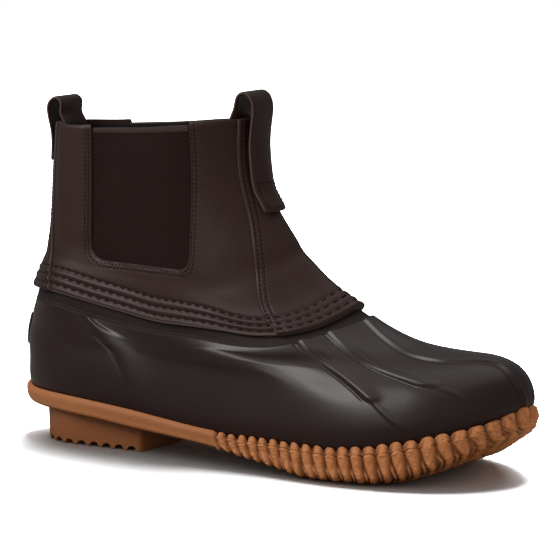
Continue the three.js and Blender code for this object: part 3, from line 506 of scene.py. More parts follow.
row_material = np.zeros(len(shell_rows))
row_material[SIDE_ROWS:SIDE_ROWS + ROLL_ROWS + len(flap)] = 1
rubber_foot = weld(ring_solid("rubber_foot", shell_rows, [rubber, flange_rubber], row_material))
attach(rubber_foot, "root")
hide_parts("rubber_shell")

# The outsole: tan gum rubber moulded round the foot. Its rim is plain round the heel and the shank, and
# a row of knuckles, like whipped rope, round the forefoot. Underneath are shallow wavy tread bars.
KNUCKLES_PER_SIDE, KNUCKLE_START = 24, 0.47
KNUCKLE_STEPS, PLAIN_STEPS = 16, 64
UNDERSIDE_ALONG = np.array([-0.03, 0.08, 0.19, 0.29, 0.46, 0.6, 0.67, 0.78, 0.84, 0.88, 0.92, 0.96, 1.02]) * LENGTH
UNDERSIDE_HEEL = np.array([1.0, 0.99, 0.9, 0.71, 0.5, 0.19, 0, 0, 0, 0, 0, 0, 0]) * HEEL_HEIGHT
UNDERSIDE_TOE = np.array([0, 0, 0, 0, 0, 0, 0, 0, 0.09, 0.24, 0.47, 0.74, 1.12]) * TOE_SPRING


def underside(x):
    """Height of the sole's underside: no overshoot between the given heights."""
    z = UNDERSIDE_HEEL + UNDERSIDE_TOE
    slope = np.diff(z) / np.diff(UNDERSIDE_ALONG)
    product = slope[:-1] * slope[1:]
    inner = np.where(product > 0, 2 * product / np.where(product > 0, slope[:-1] + slope[1:], 1), 0)
    tangent = np.concatenate([[slope[0]], inner, [slope[-1]]])
    i = span_of(UNDERSIDE_ALONG, x)
    h = UNDERSIDE_ALONG[i + 1] - UNDERSIDE_ALONG[i]
    t = np.clip((x - UNDERSIDE_ALONG[i]) / h, 0, 1)
    start = (2 * t**3 - 3 * t**2 + 1) * z[i] + (t**3 - 2 * t**2 + t) * h * tangent[i]
    return start + (3 * t**2 - 2 * t**3) * z[i + 1] + (t**3 - t**2) * h * tangent[i + 1]


# Rows of the rim: place on the way up; back and front ends; lift, a share of the way from the underside
# to the welt line; widths at heel, ball and toe.
RIM = [
    (0.0, 0.02, 0.94, 0.0, 0.90, 0.83, 0.82),
    (0.16, 0.004, 0.975, 0.1, 0.975, 0.955, 0.94),
    (0.5, -0.01, 0.995, 0.45, 1.005, 0.99, 0.98),
    (0.85, -0.012, 0.999, 0.88, 1.005, 0.985, 0.975),
    (1.0, -0.01, 0.996, 1.02, 0.985, 0.955, 0.94),
]
HEAD_FROM = 0.80


def wrinkles(points, size, seed):
    """Smooth uneven relief between about -1 and 1, with bumps of about the given size."""
    dice = np.random.default_rng(seed)
    total = 0
    for _ in range(9):
        way = dice.normal(size=3)
        way /= np.linalg.norm(way)
        total = total + np.sin(points @ way * (2 * np.pi / size) * dice.uniform(0.6, 1.6) + dice.uniform(0, 6.3))
    return total / 4


def way_along(line):
    """How far along a line of points each point is."""
    return np.concatenate([[0], np.cumsum(np.linalg.norm(np.diff(line, axis=0), axis=1))])


way_u = np.linspace(0, 0.5, 1601)
welt = last(way_u, 0.0)
way = way_along(welt)
knuckled = way[np.nonzero(welt[:, 0] > KNUCKLE_START * LENGTH)[0][-1]]
# The knuckles are wider toward the toe. Knuckle numbers are counted from the toe's tip.
WIDER_AT_TOE, TOE_REACH = 0.38, 55.0
thin = 1 / (1 + WIDER_AT_TOE * np.exp(-(way / TOE_REACH) ** 2))
way_q = np.concatenate([[0], np.cumsum((thin[1:] + thin[:-1]) / 2 * np.diff(way))])
way_q *= KNUCKLES_PER_SIDE / np.interp(knuckled, way, way_q)
side_q = np.concatenate([np.arange(0, KNUCKLES_PER_SIDE, 1 / KNUCKLE_STEPS),
                         KNUCKLES_PER_SIDE + np.linspace(0, 1, PLAIN_STEPS + 1) * (way_q[-1] - KNUCKLES_PER_SIDE)])
side_u = np.interp(side_q, way_q, way_u)
rim_u = np.concatenate([side_u, 1 - side_u[-2:0:-1]])
rim_q = np.concatenate([side_q, side_q[-2:0:-1]])
rim_side = np.concatenate([np.zeros(len(side_q)), np.ones(len(side_q) - 2)])
rim_v = np.concatenate([np.linspace(0, 0.72, 29), np.linspace(0.735, 0.90, 14), np.linspace(0.915, 1, 6)])

rim_rings = []
for _, back, front, lift, w_heel, w_ball, w_toe in RIM:
    plan = ring_points(back, front, np.zeros(10), (w_heel, w_heel, (w_heel + w_ball) / 2, w_ball, w_toe), 0.95)
    bends = ROUND_BENDS @ plan
    count = len(rim_u)
    plan, bends = (np.broadcast_to(rows, (count, 18, 3)) for rows in (plan, bends))
    rim_rings.append(round_curve(plan, bends, rim_u))
rim_rings = np.array(rim_rings)
rim_rings[..., 2] = np.array([row[3] for row in RIM])[:, None]
rim_places = np.array([row[0] for row in RIM])
rim_bends = np.einsum("ij,jkc->ikc", bends_of(rim_places, 0), rim_rings)
at_row = span_of(rim_places, rim_v)
step = rim_places[at_row + 1] - rim_places[at_row]
t = ((rim_v - rim_places[at_row]) / step)[:, None, None]
rim = between(rim_rings[at_row], rim_rings[at_row + 1], rim_bends[at_row], rim_bends[at_row + 1],
              step[:, None, None], t)
lift = np.clip(rim[..., 2], 0, 1.05)
low = underside(rim[..., 0])
rim[..., 2] = low + lift * (last(rim_u, 0.0)[None, :, 2] - low)
turn = np.roll(rim, -1, 1) - np.roll(rim, 1, 1)
outward = np.stack([-turn[..., 1], turn[..., 0], np.zeros(turn.shape[:2])], -1)
outward /= np.linalg.norm(outward, axis=-1, keepdims=True)

v = rim_v[:, None]
q = rim_q[None, :]
dice = np.random.default_rng(7)
uneven = dice.uniform(-1, 1, (6, 2, KNUCKLES_PER_SIDE + 2))


def own(k):
    """An uneven number, from -1 to 1, for each knuckle."""
    return uneven[k][np.broadcast_to(rim_side.astype(int)[None, :], number.shape), number]


def mound(off, half, full=2.3):
    """A rounded cross-section with steep sides, 1 in the middle and 0 at its half width."""
    return np.clip(1 - np.abs(off / half) ** full, 0, 1) ** 0.62


at_front = smooth((8 - q) / 7)
sweep = 1.55 * np.clip((HEAD_FROM - v) / HEAD_FROM, 0, 1) ** 1.5
present = smooth((KNUCKLES_PER_SIDE + 0.03 - q - 0.3 * sweep) / 0.1)
wander = wrinkles(rim, 9.0, 3)
body_q = q + sweep + (0.03 + 0.09 * at_front) * wander
number = np.clip(np.floor(body_q), 0, KNUCKLES_PER_SIDE + 1).astype(int)
body_across = np.mod(body_q, 1.0) - 0.5
head_across = np.mod(q, 1.0) - 0.5 - 0.05 * own(0)
body_half = 0.465 - (0.19 + 0.05 * own(1)) * smooth((0.72 - v) / 0.5)
leaf_across = body_across - (0.465 - body_half)
body = mound(leaf_across, body_half, 2.6)
tuck = mound(body_across + 0.35, 0.13) * smooth((0.55 + 0.08 * own(5) - v) / 0.2) * (0.50 + 0.14 * own(2))
shoulders = HEAD_FROM - 0.015 - 0.10 * np.clip(np.abs(leaf_across / body_half), 0, 1) ** 3
body = np.maximum(body, tuck) * (1 - smooth((v - shoulders - 0.012 - 0.03 * at_front) / 0.036))
head = mound(head_across, 0.365 + 0.03 * own(3) + 0.08 * at_front, 2.8)
head = head * smooth((v - HEAD_FROM + 0.006 + 0.012 * own(4) + 0.04 * at_front) / 0.03)
knuckle = np.maximum(body * (1 + 0.08 * own(3)), (0.86 + 0.1 * at_front) * head * (1 + 0.10 * own(2)))
shoulder = bump(v - HEAD_FROM + 0.045, 0.022) * mound(body_across, 0.45)
ease_low = smooth((v + 0.02) / 0.14)
recess = 2.25 - 1.0 * smooth((v - HEAD_FROM + 0.03) / 0.05)
out = ((1.05 + recess) * knuckle - recess + 0.3 * shoulder) * present * (0.3 + 0.7 * ease_low)
folds = wrinkles(rim * [1, 1, 1.7], 3.6, 11) * (0.26 + 0.26 * at_front)
# Fine creases, as of folded cloth: thin valleys where an uneven field changes sign.
creased = 1 - smooth(np.abs(wrinkles(rim * [1, 1, 1.3], 9.0, 21)) / 0.2)
creased = np.maximum(creased, at_front * (1 - smooth(np.abs(wrinkles(rim, 12.0, 23)) / 0.17)))
folds -= (0.28 + 0.5 * at_front) * creased
pleats = -0.5 * bump(np.mod(body_across * 2.0 + 0.35 + 0.5 * v, 1.0) - 0.5, 0.09) * smooth((0.55 - v) / 0.2)
out += (folds * (0.35 + 0.65 * knuckle) + pleats * (0.5 + 0.5 * at_front)) * present * smooth(v / 0.1)
crown_rise = smooth((v - 0.72) / 0.28)
cap = mound(head_across, 0.395 + 0.08 * at_front, 2.6)
# The rim climbs the toe's tip.
climb = 3.6 * (1 - smooth((q - 0.3) / 2.6)) + 1.5 * (1 - smooth((q - 1.5) / 6))
cap_high = 2.7 - 1.6 * at_front ** 3
up = (cap_high * cap * (1 + 0.14 * own(4)) - 0.2 - cap_high + climb) * crown_rise * present
scallop = -0.8 * (body - 0.45) * smooth((0.3 - v) / 0.3) * present * smooth((low - 0.15) / 0.6 + 0.4)
plain = 1 - present
out += plain * (-0.3 * smooth((v - 0.93) / 0.07))
# Painted shade: how much darker the gum is drawn, most in the grooves between knuckles and some in the folds, where
# shade falls; the plain rim is drawn darker all over.
painted_shade_and_rim_tone = np.clip(1.05 - knuckle, 0, 1) ** 1.4 * present * smooth(v / 0.1)
painted_shade_and_rim_tone += 0.4 * np.clip(-folds, 0, 1) * present + 0.56 * plain
rim += outward * out[..., None]
rim[..., 2] += up + scallop
rim[..., 2] = np.maximum(rim[..., 2], 0.0)
rim[0, :, 2] = low[0]

# The crown turns in against the foot, just under its own height, and goes down into the sole's well.
seat = skin(rim_u, np.array([[-0.02], [-0.2]]), 0.5)
seat[0, :, 2] = rim[-1, :, 2] - 0.15
seat[1, :, 2] = np.minimum(seat[1, :, 2], rim[-1, :, 2] - 1.6)
well = skin(rim_u, FLOOR, 0.54)
well[:, 2] = last(rim_u, FLOOR)[:, 2] - 0.3
crown_round = rim[-1] * 0.5 + seat[0] * 0.5
crown_round[:, 2] = rim[-1, :, 2] + 0.3
rim_all = np.concatenate([rim, [crown_round], seat, [well]])

def cross_ribs(ring, steps):
    """A grid that closes a ring, with as many points on its outer as on its inner side."""
    count = len(ring) // 2 + 1
    outer = ring[:count]
    inner = np.concatenate([ring[:1], ring[:count - 2:-1]])
    s = np.linspace(0, 1, steps)[None, :, None]
    return outer[:, None] * (1 - s) + inner[:, None] * s


def capped_solid(name, rings, caps, materials, sharp=None):
    """Rings from the foot to the top, closed by a grid at either end."""
    points, faces, start = [], [], 0
    for grid in (rings, *caps):
        rows, columns = grid.shape[:2]
        points.append(grid.reshape(-1, 3))
        faces.append(grid_faces(rows, columns, False, grid is rings) + start)
        start += rows * columns
    return add_mesh(name, np.concatenate(points), np.concatenate(faces), materials, sharp=sharp)


CROSS_POINTS = 37
TREAD_PITCH, TREAD_DEPTH = 8.5, 1.3
tread = cross_ribs(rim_all[0], CROSS_POINTS)
s = np.linspace(0, 1, CROSS_POINTS)[None, :]
bar = np.sin(2 * np.pi * (tread[..., 0] + 3.0 * np.sin(2 * np.pi * tread[..., 1] / 24)) / TREAD_PITCH)
inside_edge = smooth(np.minimum(s, 1 - s) / 0.12)
tread[..., 2] = underside(tread[..., 0]) + TREAD_DEPTH * smooth((bar - 0.15) / 0.5) * inside_edge

gum, tree, shader, where = new_material("gum_rubber")
tone = toned(tree, where, 45.0, 1100.0, 0.35)
colour = mix_colours(tree, tone.outputs["Patches"], (0.365, 0.130, 0.042, 1), (0.445, 0.170, 0.056, 1))
specked = maths(tree, "MULTIPLY", tone.outputs["Specks"], 0.3)
colour = mix_colours(tree, specked, colour, (0.185, 0.062, 0.021, 1))
# Painted shade: the gum is mixed toward dark brown by the rim's per-point darkening, in the grooves and folds, and
# over the plain rim.
shade_and_rim_tone_in = new_node(tree, "ShaderNodeAttribute", attribute_name="painted_shade_and_rim_tone").outputs["Fac"]
shaded = maths(tree, "MULTIPLY", shade_and_rim_tone_in, 0.62, clamp=True)
colour = mix_colours(tree, shaded, colour, (0.080, 0.027, 0.010, 1))
bumped(tree, shader, noise(tree, where, 520.0, 6.0, 0.7), 0.0006, 0.7)
finished(tree, shader, colour, 0.62, 0.3)
gum_sole = capped_solid("gum_sole", rim_all, (tread, cross_ribs(rim_all[-1], CROSS_POINTS)), [gum])
shade_and_rim_tone_per_point = np.zeros(len(gum_sole.data.vertices))
shade_and_rim_tone_per_point[:painted_shade_and_rim_tone.size] = painted_shade_and_rim_tone.ravel()
gum_sole.data.attributes.new("painted_shade_and_rim_tone", "FLOAT", "POINT").data.foreach_set("value", shade_and_rim_tone_per_point.astype(np.float32))
weld(gum_sole)
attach(gum_sole, "root")
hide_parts("outsole")

# The heel: a separate gum block with a round back and a straight breast, glued under the rim. Half-round
# notches run round its lower edge.
HEEL_BACK, HEEL_BREAST, HEEL_HALF = 0.04 * LENGTH, 0.288 * LENGTH, 0.285 * BALL_WIDTH
HEEL_CORNER = 3.0
NOTCHES, NOTCH_HIGH, NOTCH_REACH = 11, 2.3, 6.0
arc = np.radians(np.linspace(0, 90, 150))
heel_line = [np.stack([HEEL_BACK + HEEL_HALF * (1 - np.cos(arc)), HEEL_HALF * np.sin(arc)], 1)]
straight = np.linspace(HEEL_BACK + HEEL_HALF, HEEL_BREAST - HEEL_CORNER, 60)[1:]
heel_line.append(np.stack([straight, np.full(len(straight), HEEL_HALF)], 1))
arc = np.radians(np.linspace(0, 90, 9))[1:]
heel_line.append(np.stack([HEEL_BREAST - HEEL_CORNER * (1 - np.sin(arc)),
                           HEEL_HALF - HEEL_CORNER * (1 - np.cos(arc))], 1))
breast = np.linspace(HEEL_HALF - HEEL_CORNER, 0, 24)[1:]
heel_line.append(np.stack([np.full(len(breast), HEEL_BREAST), breast], 1))
heel_half = np.concatenate(heel_line)
heel_way = way_along(heel_half)
notched_way = np.pi / 2 * HEEL_HALF + (HEEL_BREAST - HEEL_BACK - HEEL_HALF) - 2.0
phase = heel_way / notched_way * NOTCHES
in_notch = np.mod(phase, 1.0) - 0.5
notch = NOTCH_HIGH * np.sqrt(np.clip(1 - (in_notch / 0.36) ** 2, 0, 1)) * (phase < NOTCHES)
heel_plan = np.concatenate([heel_half * [1, -1], heel_half[-2:0:-1]])
heel_notch = np.concatenate([notch, notch[-2:0:-1]])
heel_middle = (HEEL_BACK + HEEL_BREAST) / 2
GROW_ALONG, GROW_ACROSS = 37, 31


def heel_ring(grow, height):
    x = heel_middle + (heel_plan[:, 0] - heel_middle) * (1 + grow / GROW_ALONG)
    y = heel_plan[:, 1] * (1 + grow / GROW_ACROSS)
    return np.stack([x, y, height + np.zeros(len(x))], 1)


top_at = underside(heel_plan[:, 0]) - 0.3
heel_rings = [heel_ring(-NOTCH_REACH, 0.0), heel_ring(-NOTCH_REACH * 0.5, heel_notch * 0.8),
              heel_ring(-0.5, heel_notch), heel_ring(0.0, heel_notch + 0.5)]
heel_rings += [heel_ring(0.55 * s, (heel_notch + 0.5) * (1 - s) + top_at * s) for s in np.linspace(0.1, 1, 10)]
heel_rings = np.array(heel_rings)
heel_bottom, heel_top = cross_ribs(heel_rings[0], 17), cross_ribs(heel_rings[-1], 17)
heel_top[..., 2] = underside(heel_top[..., 0]) - 0.3
heel_gum, tree, shader, where = new_material("heel_gum")
tone = toned(tree, where, 60.0, 1100.0, 0.35)
colour = mix_colours(tree, tone.outputs["Patches"], (0.180, 0.059, 0.019, 1), (0.222, 0.076, 0.025, 1))
specked = maths(tree, "MULTIPLY", tone.outputs["Specks"], 0.3)
colour = mix_colours(tree, specked, colour, (0.12, 0.05, 0.02, 1))
bumped(tree, shader, noise(tree, where, 700.0, 5.0, 0.65), 0.00018, 0.5)
finished(tree, shader, colour, 0.6, 0.3)
heel_block = weld(capped_solid("heel_block", heel_rings, (heel_bottom, heel_top), [heel_gum], sharp=32))
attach(heel_block, "root")
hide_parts("heel")

# The insole: a loose foam board faced with dark woven cloth. It is cut a little smaller than the foot's
# floor, with its upper edge rounded off, and laid in without glue.
INSOLE_THICK = 3.5
insole_u = even_columns(240)


def insole_ring(inset, lift):
    ring = skin(insole_u, FLOOR, -SHELL_WALL - 0.6 - inset)
    ring[:, 2] = last(insole_u, FLOOR)[:, 2] + lift
    return ring


insole_rings = np.array([insole_ring(0.4, 0.15), insole_ring(0, 0.6), insole_ring(0, INSOLE_THICK - 0.9),
                         insole_ring(0.3, INSOLE_THICK - 0.3), insole_ring(1.1, INSOLE_THICK)])
BOARD_POINTS = 18

# Woven cloth in fine threads, for the insole's face, the lining, the tapes and the elastic.
weave, weave_in, weave_out = new_group(
    "woven_threads",
    [("Vector", "NodeSocketVector", None), ("Rib Pitch", "NodeSocketFloat", 0.001),
     ("Thread Pitch", "NodeSocketFloat", 0.0006), ("Wander", "NodeSocketFloat", 0.3)],
    [("Height", "NodeSocketFloat"), ("Ribs", "NodeSocketFloat")],
)
stray = noise(weave, weave_in.outputs["Vector"], 140.0, 3.0)
axes = new_node(weave, "ShaderNodeSeparateXYZ", {"Vector": weave_in.outputs["Vector"]})
drift = maths(weave, "MULTIPLY", maths(weave, "SUBTRACT", stray, 0.5), weave_in.outputs["Wander"])
ribs_up = maths(weave, "DIVIDE", axes.outputs["Z"], weave_in.outputs["Rib Pitch"])
turn_z = maths(weave, "MULTIPLY", ribs_up, 2 * math.pi)
ribs = maths(weave, "SINE", maths(weave, "ADD", turn_z, maths(weave, "MULTIPLY", drift, 2 * math.pi)))
turn_x = maths(weave, "MULTIPLY", maths(weave, "DIVIDE", maths(weave, "ADD", axes.outputs["X"], axes.outputs["Y"]),
                                        weave_in.outputs["Thread Pitch"]), 2 * math.pi)
threads = maths(weave, "SINE", maths(weave, "ADD", turn_x, maths(weave, "MULTIPLY", drift, 9.0)))
both = maths(weave, "ADD", maths(weave, "MULTIPLY", ribs, 0.5), maths(weave, "MULTIPLY", threads, 0.22))
weave.links.new(maths(weave, "ADD", both, 0.5), weave_out.inputs["Height"])
weave.links.new(maths(weave, "MULTIPLY_ADD", ribs, 0.5, 0.5), weave_out.inputs["Ribs"])


def woven(tree, where, rib_pitch, thread_pitch, wander):
    return place_group(tree, weave, {"Vector": where, "Rib Pitch": rib_pitch, "Thread Pitch": thread_pitch,
                                     "Wander": wander})


lining_cloth, tree, shader, where = new_material("lining_cloth")
cloth = woven(tree, where, 0.0012, 0.0012, 0.5)
tone = toned(tree, where, 40.0, 800.0, 0.2)
colour = mix_colours(tree, tone.outputs["Patches"], (0.0085, 0.0080, 0.0082, 1), (0.016, 0.0145, 0.0145, 1))
bumped(tree, shader, cloth.outputs["Height"], 0.0002, 0.6)
finished(tree, shader, colour, 0.95, 0.15)
insole_caps = [cross_ribs(ring, BOARD_POINTS) for ring in insole_rings[[0, -1]]]
insole_board = weld(capped_solid("insole_board", insole_rings, insole_caps, [lining_cloth]))
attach(insole_board, "root")
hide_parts("insole")

# The shaft: dark brown leather quarters, cut from one wrap with a rounded window at each side, open to
# the collar. Their lower edge laps over the rubber lip and is sewn down with three rows.
LEATHER_WALL = 2.0
LEATHER_LAP, LAP_FADE = 1.75, 22.0
STITCH_ROWS = (4.4, 9.0, 13.6)
SIDE_LAP = 0.8
SEAM_PITCH, SEAM_STITCH, SEAM_THREAD = 5.2, 3.7, 0.40
ROW_COLUMNS = 2400
seam_u = np.linspace(0, 1, ROW_COLUMNS + 1)
seam_line = last(seam_u, leather_edge(seam_u) + 0.35)
seam_way = way_along(seam_line)
SEAM_COUNT = int(round(seam_way[-1] / SEAM_PITCH))


def lapped(u, up):
    """How far the leather stands off the last where it laps over the rubber, by the way up from its edge."""
    return (LEATHER_LAP + SIDE_LAP * upright(u)) * (1 - smooth(up / LAP_FADE))


def leather_relief(u, level, per_level):
    """The leather's outer face over the last: lapped edge, sewn rows, and soft creases."""
    up = (level - leather_edge(u)) * per_level
    relief = lapped(u, up) - 0.5 * (1 - smooth((up + 0.1) / 0.9))
    turn = np.interp(np.mod(u, 1.0), seam_u, seam_way) / seam_way[-1] * SEAM_COUNT
    for number, row in enumerate(STITCH_ROWS):
        pull = 0.6 + 0.12 * np.cos(2 * np.pi * (turn + 0.5 * (number % 2)))
        relief -= pull * bump(up - row, 1.0)
    for middle in (2.0, 6.7, 11.3):
        relief += 0.28 * bump(up - middle, 1.4)
    side = side_of(u)
    # Ankle creases, in shares of the way round and in levels: a soft trough, its depth and its spread.
    for crease_u, crease_level, depth, wide, high in (
        (0.05, 7.05, 0.9, 0.07, 0.28), (0.16, 6.75, 0.5, 0.06, 0.25), (0.40, 7.3, 0.7, 0.05, 0.35),
        (0.46, 6.9, 0.5, 0.05, 0.25), (0.27, 6.62, -0.5, 0.10, 0.22), (0.09, 8.4, 0.4, 0.04, 0.8)):
        relief -= depth * bump(side - crease_u, wide) * bump(level - crease_level, high)
    return relief


# The window's outline seen from the side: shares of the length and of the height, and corner radii. Its
# top corners flare where the leather's edge rounds into the collar.
WINDOW_BACK_TOP, WINDOW_BACK_FOOT = (0.157, 0.97), (0.168, 0.556)
WINDOW_FRONT_FOOT, WINDOW_FRONT_TOP = (0.386, 0.55), (0.378, 1.0)
BACK_RADIUS, FRONT_RADIUS, COLLAR_RADIUS = 11.0, 8.0, 5.5


def rounded(corner_points, radii, steps=8):
    line = []
    for i, (corner, radius) in enumerate(zip(corner_points, radii)):
        if not radius:
            line.append(corner[None])
            continue
        before, after = (corner + (point - corner) / np.linalg.norm(point - corner) * radius
                         for point in (corner_points[i - 1], corner_points[i + 1]))
        t = np.linspace(0, 1, steps + 1)[:, None]
        line.append((1 - t) ** 2 * before + 2 * t * (1 - t) * corner + t**2 * after)
    return np.concatenate(line)


def window_line(margin, flared=True):
    size = np.array([LENGTH, BOOT_HEIGHT])
    back_top = np.array(WINDOW_BACK_TOP) * size - [margin, 0]
    back_foot = np.array(WINDOW_BACK_FOOT) * size - [margin, margin]
    front_foot = np.array(WINDOW_FRONT_FOOT) * size + [margin, -margin]
    front_top = np.array(WINDOW_FRONT_TOP) * size + [margin, 0]
    if not flared:
        back_top[1] = front_top[1] = 1.1 * BOOT_HEIGHT
        return rounded(np.array([back_top, back_foot, front_foot, front_top]), (0, BACK_RADIUS, FRONT_RADIUS, 0))
    reach = 3 * COLLAR_RADIUS
    far = 1.2 * BOOT_HEIGHT
    corners = np.array([[back_top[0] - reach, far], back_top - [reach, 0], back_top, back_foot,
                        front_foot, front_top, front_top + [reach, 0], [front_top[0] + reach, far]])
    return rounded(corners, (0, 0, COLLAR_RADIUS, BACK_RADIUS, FRONT_RADIUS, COLLAR_RADIUS, 0, 0))


def distance_to(line, x, z):
    """Distance from points to an open line of short pieces, in the side view."""
    nearest = np.full(x.shape, 1e9)
    for (x0, z0), (x1, z1) in zip(line[:-1], line[1:]):
        dx, dz = x1 - x0, z1 - z0
        t = np.clip(((x - x0) * dx + (z - z0) * dz) / max(dx * dx + dz * dz, 1e-9), 0, 1)
        nearest = np.minimum(nearest, np.hypot(x - x0 - t * dx, z - z0 - t * dz))
    return nearest


def prism(name, line, depth):
    """A block with the given outline in the side view, through the whole boot."""
    n = len(line)
    near = np.stack([line[:, 0], np.full(n, -depth), line[:, 1]], 1)
    far = near * [1, -1, 1]
    mesh = bpy.data.meshes.new(name)
    sides = [(i, (i + 1) % n, n + (i + 1) % n, n + i) for i in range(n)]
    caps = [tuple(range(n))[::-1], tuple(range(n, 2 * n))]
    mesh.from_pydata(((np.concatenate([near, far]) - MIDDLE) * 0.001).tolist(), [], sides + caps)
    block = bpy.data.objects.new(name, mesh)
    bpy.context.scene.collection.objects.link(block)
    return weld(block)


def cut(piece, cutter, operation="DIFFERENCE", cut_material=0):
    """Cuts a piece with another, keeps the result as its mesh, and drops the cutter."""
    for face in cutter.data.polygons:
        face.material_index = cut_material
    change = piece.modifiers.new("cut", "BOOLEAN")
    change.operation = operation
    change.solver = "EXACT"
    change.object = cutter
    bpy.context.view_layer.update()
    mesh = bpy.data.meshes.new_from_object(piece.evaluated_get(bpy.context.evaluated_depsgraph_get()))
    piece.modifiers.clear()
    mesh.set_sharp_from_angle(angle=math.radians(38))
    piece.data = mesh
    bpy.data.objects.remove(cutter)


# Leather grain: small irregular cells with fine creases between them, and broad soft tone.
grain, grain_in, grain_out = new_group(
    "leather_grain",
    [("Vector", "NodeSocketVector", None), ("Cell Scale", "NodeSocketFloat", 1300.0),
     ("Crease Scale", "NodeSocketFloat", 90.0)],
    [("Height", "NodeSocketFloat"), ("Creases", "NodeSocketFloat")],
)
cells = new_node(grain, "ShaderNodeTexVoronoi", {"Vector": grain_in.outputs["Vector"],
                                                 "Scale": grain_in.outputs["Cell Scale"]}, feature="F1")
grain_folds = noise(grain, grain_in.outputs["Vector"], grain_in.outputs["Crease Scale"], 6.0, 0.6)
cell_height = maths(grain, "MULTIPLY", cells.outputs["Distance"], 0.5)
grain.links.new(maths(grain, "ADD", cell_height, grain_folds), grain_out.inputs["Height"])
grain.links.new(grain_folds, grain_out.inputs["Creases"])


def leather_material(name, dark, light, roughness, gloss):
    material, tree, shader, where = new_material(name)
    tone = toned(tree, where, 22.0, 1600.0, 0.15)
    surface_grain = place_group(tree, grain, {"Vector": where})
    colour = mix_colours(tree, tone.outputs["Patches"], (*dark, 1), (*light, 1))
    colour = mix_colours(tree, maths(tree, "MULTIPLY", tone.outputs["Specks"], 0.25), colour,
                         (dark[0] * 0.5, dark[1] * 0.5, dark[2] * 0.5, 1))
    rough = maths(tree, "MULTIPLY_ADD", surface_grain.outputs["Creases"], 0.18, roughness - 0.09)
    bumped(tree, shader, surface_grain.outputs["Height"], 0.00016, 0.55)
    finished(tree, shader, colour, rough, gloss)
    return material


leather = leather_material("shaft_leather", (0.0190, 0.0082, 0.0066), (0.0285, 0.0130, 0.0104), 0.46, 0.22)
raw_edge = leather_material("cut_leather_edge", (0.046, 0.030, 0.026), (0.078, 0.053, 0.047), 0.7, 0.2)
WINDOW_ROWS = (1.15, 3.0)


def shaft_rise(u, level, place, per_level):
    """The leather relief with the turned rim and the sewn rows round the window, and the worn collar."""
    near_window = distance_to(window_line(0.0), place[..., 0], place[..., 2])
    relief = leather_relief(u, level, per_level)
    relief -= 0.7 * (1 - smooth(near_window / 1.5)) * (level > 6.3)
    for row in WINDOW_ROWS:
        relief -= 0.34 * bump(near_window - row, 0.5) * (level > 6.3)
    return relief - 0.6 * (1 - smooth((COLLAR - level) * per_level / 1.4))


SHAFT_COLUMNS = 560
BAND_TOP, BAND_ROWS, UPPER_ROWS = 6.55, 50, 88
shaft_u = even_columns(SHAFT_COLUMNS, lambda u: 1 + 0.5 * (side_of(u) < 0.12))
edge_level = leather_edge(shaft_u)[None, :]
rise = np.linspace(0, 1, BAND_ROWS)[:, None]
band_levels = edge_level + 0.02 + rise * (BAND_TOP - edge_level - 0.02)
upper_levels = np.linspace(BAND_TOP, COLLAR, UPPER_ROWS + 1)[1:, None]
upper_levels = np.broadcast_to(upper_levels, (UPPER_ROWS, SHAFT_COLUMNS))
levels = np.concatenate([band_levels, upper_levels])
uu = np.broadcast_to(shaft_u, levels.shape)
place, normal, per_u, per_level = surface(uu, levels)
shaft_outside = place + normal * shaft_rise(uu, levels, place, per_level)[..., None]
inside_rows = np.array([COLLAR, 10.3, 9.8, 9.2, 8.6, 8.0, 7.5, 7.0, 6.6])[:, None]
inside_levels = np.concatenate([np.broadcast_to(inside_rows, (len(inside_rows), SHAFT_COLUMNS)),
                                edge_level + 0.55, edge_level + 0.02])
iu = np.broadcast_to(shaft_u, inside_levels.shape)
place, normal, per_u, per_level = surface(iu, inside_levels)
stand = lapped(iu, (inside_levels - leather_edge(iu)) * per_level)
shaft_inside = place + normal * (stand - LEATHER_WALL)[..., None]
rows = len(levels) + len(inside_levels)
row_material = np.zeros(rows)
row_material[len(levels) - 1] = 1
row_material[-1] = 1
row_material[:3] = 1
shaft_leather = weld(ring_solid("shaft_leather", np.concatenate([shaft_outside, shaft_inside]),
                                [leather, raw_edge], row_material))
cut(shaft_leather, prism("window_cutter", window_line(0.0), 80.0), cut_material=1)
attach(shaft_leather, "root")
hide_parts("shaft")


def on_side(x, z, inner=False):
    """The u and level of points of the side view, on the outer or the inner side of the shaft."""
    u0, l0 = np.meshgrid(np.linspace(0.1, 0.42, 50), np.linspace(6.2, COLLAR, 50))
    u0 = 1 - u0 if inner else u0
    table = last(u0, l0)
    reach = (table[..., 0].ravel()[None] - x[:, None]) ** 2 + (table[..., 2].ravel()[None] - z[:, None]) ** 2
    best = reach.argmin(1)
    u, level = u0.ravel()[best], l0.ravel()[best]
    for _ in range(5):
        here = last(u, level)
        by_u = (last(u + 1e-4, level) - here) / 1e-4
        above = np.minimum(level + 1e-3, COLLAR)
        by_l = (last(u, above) - last(u, above - 1e-3)) / 1e-3
        dx, dz = x - here[:, 0], z - here[:, 2]
        det = by_u[:, 0] * by_l[:, 2] - by_l[:, 0] * by_u[:, 2]
        u = u + (dx * by_l[:, 2] - dz * by_l[:, 0]) / det
        level = np.clip(level + (by_u[:, 0] * dz - by_u[:, 2] * dx) / det, 6.0, COLLAR)
    return u, level


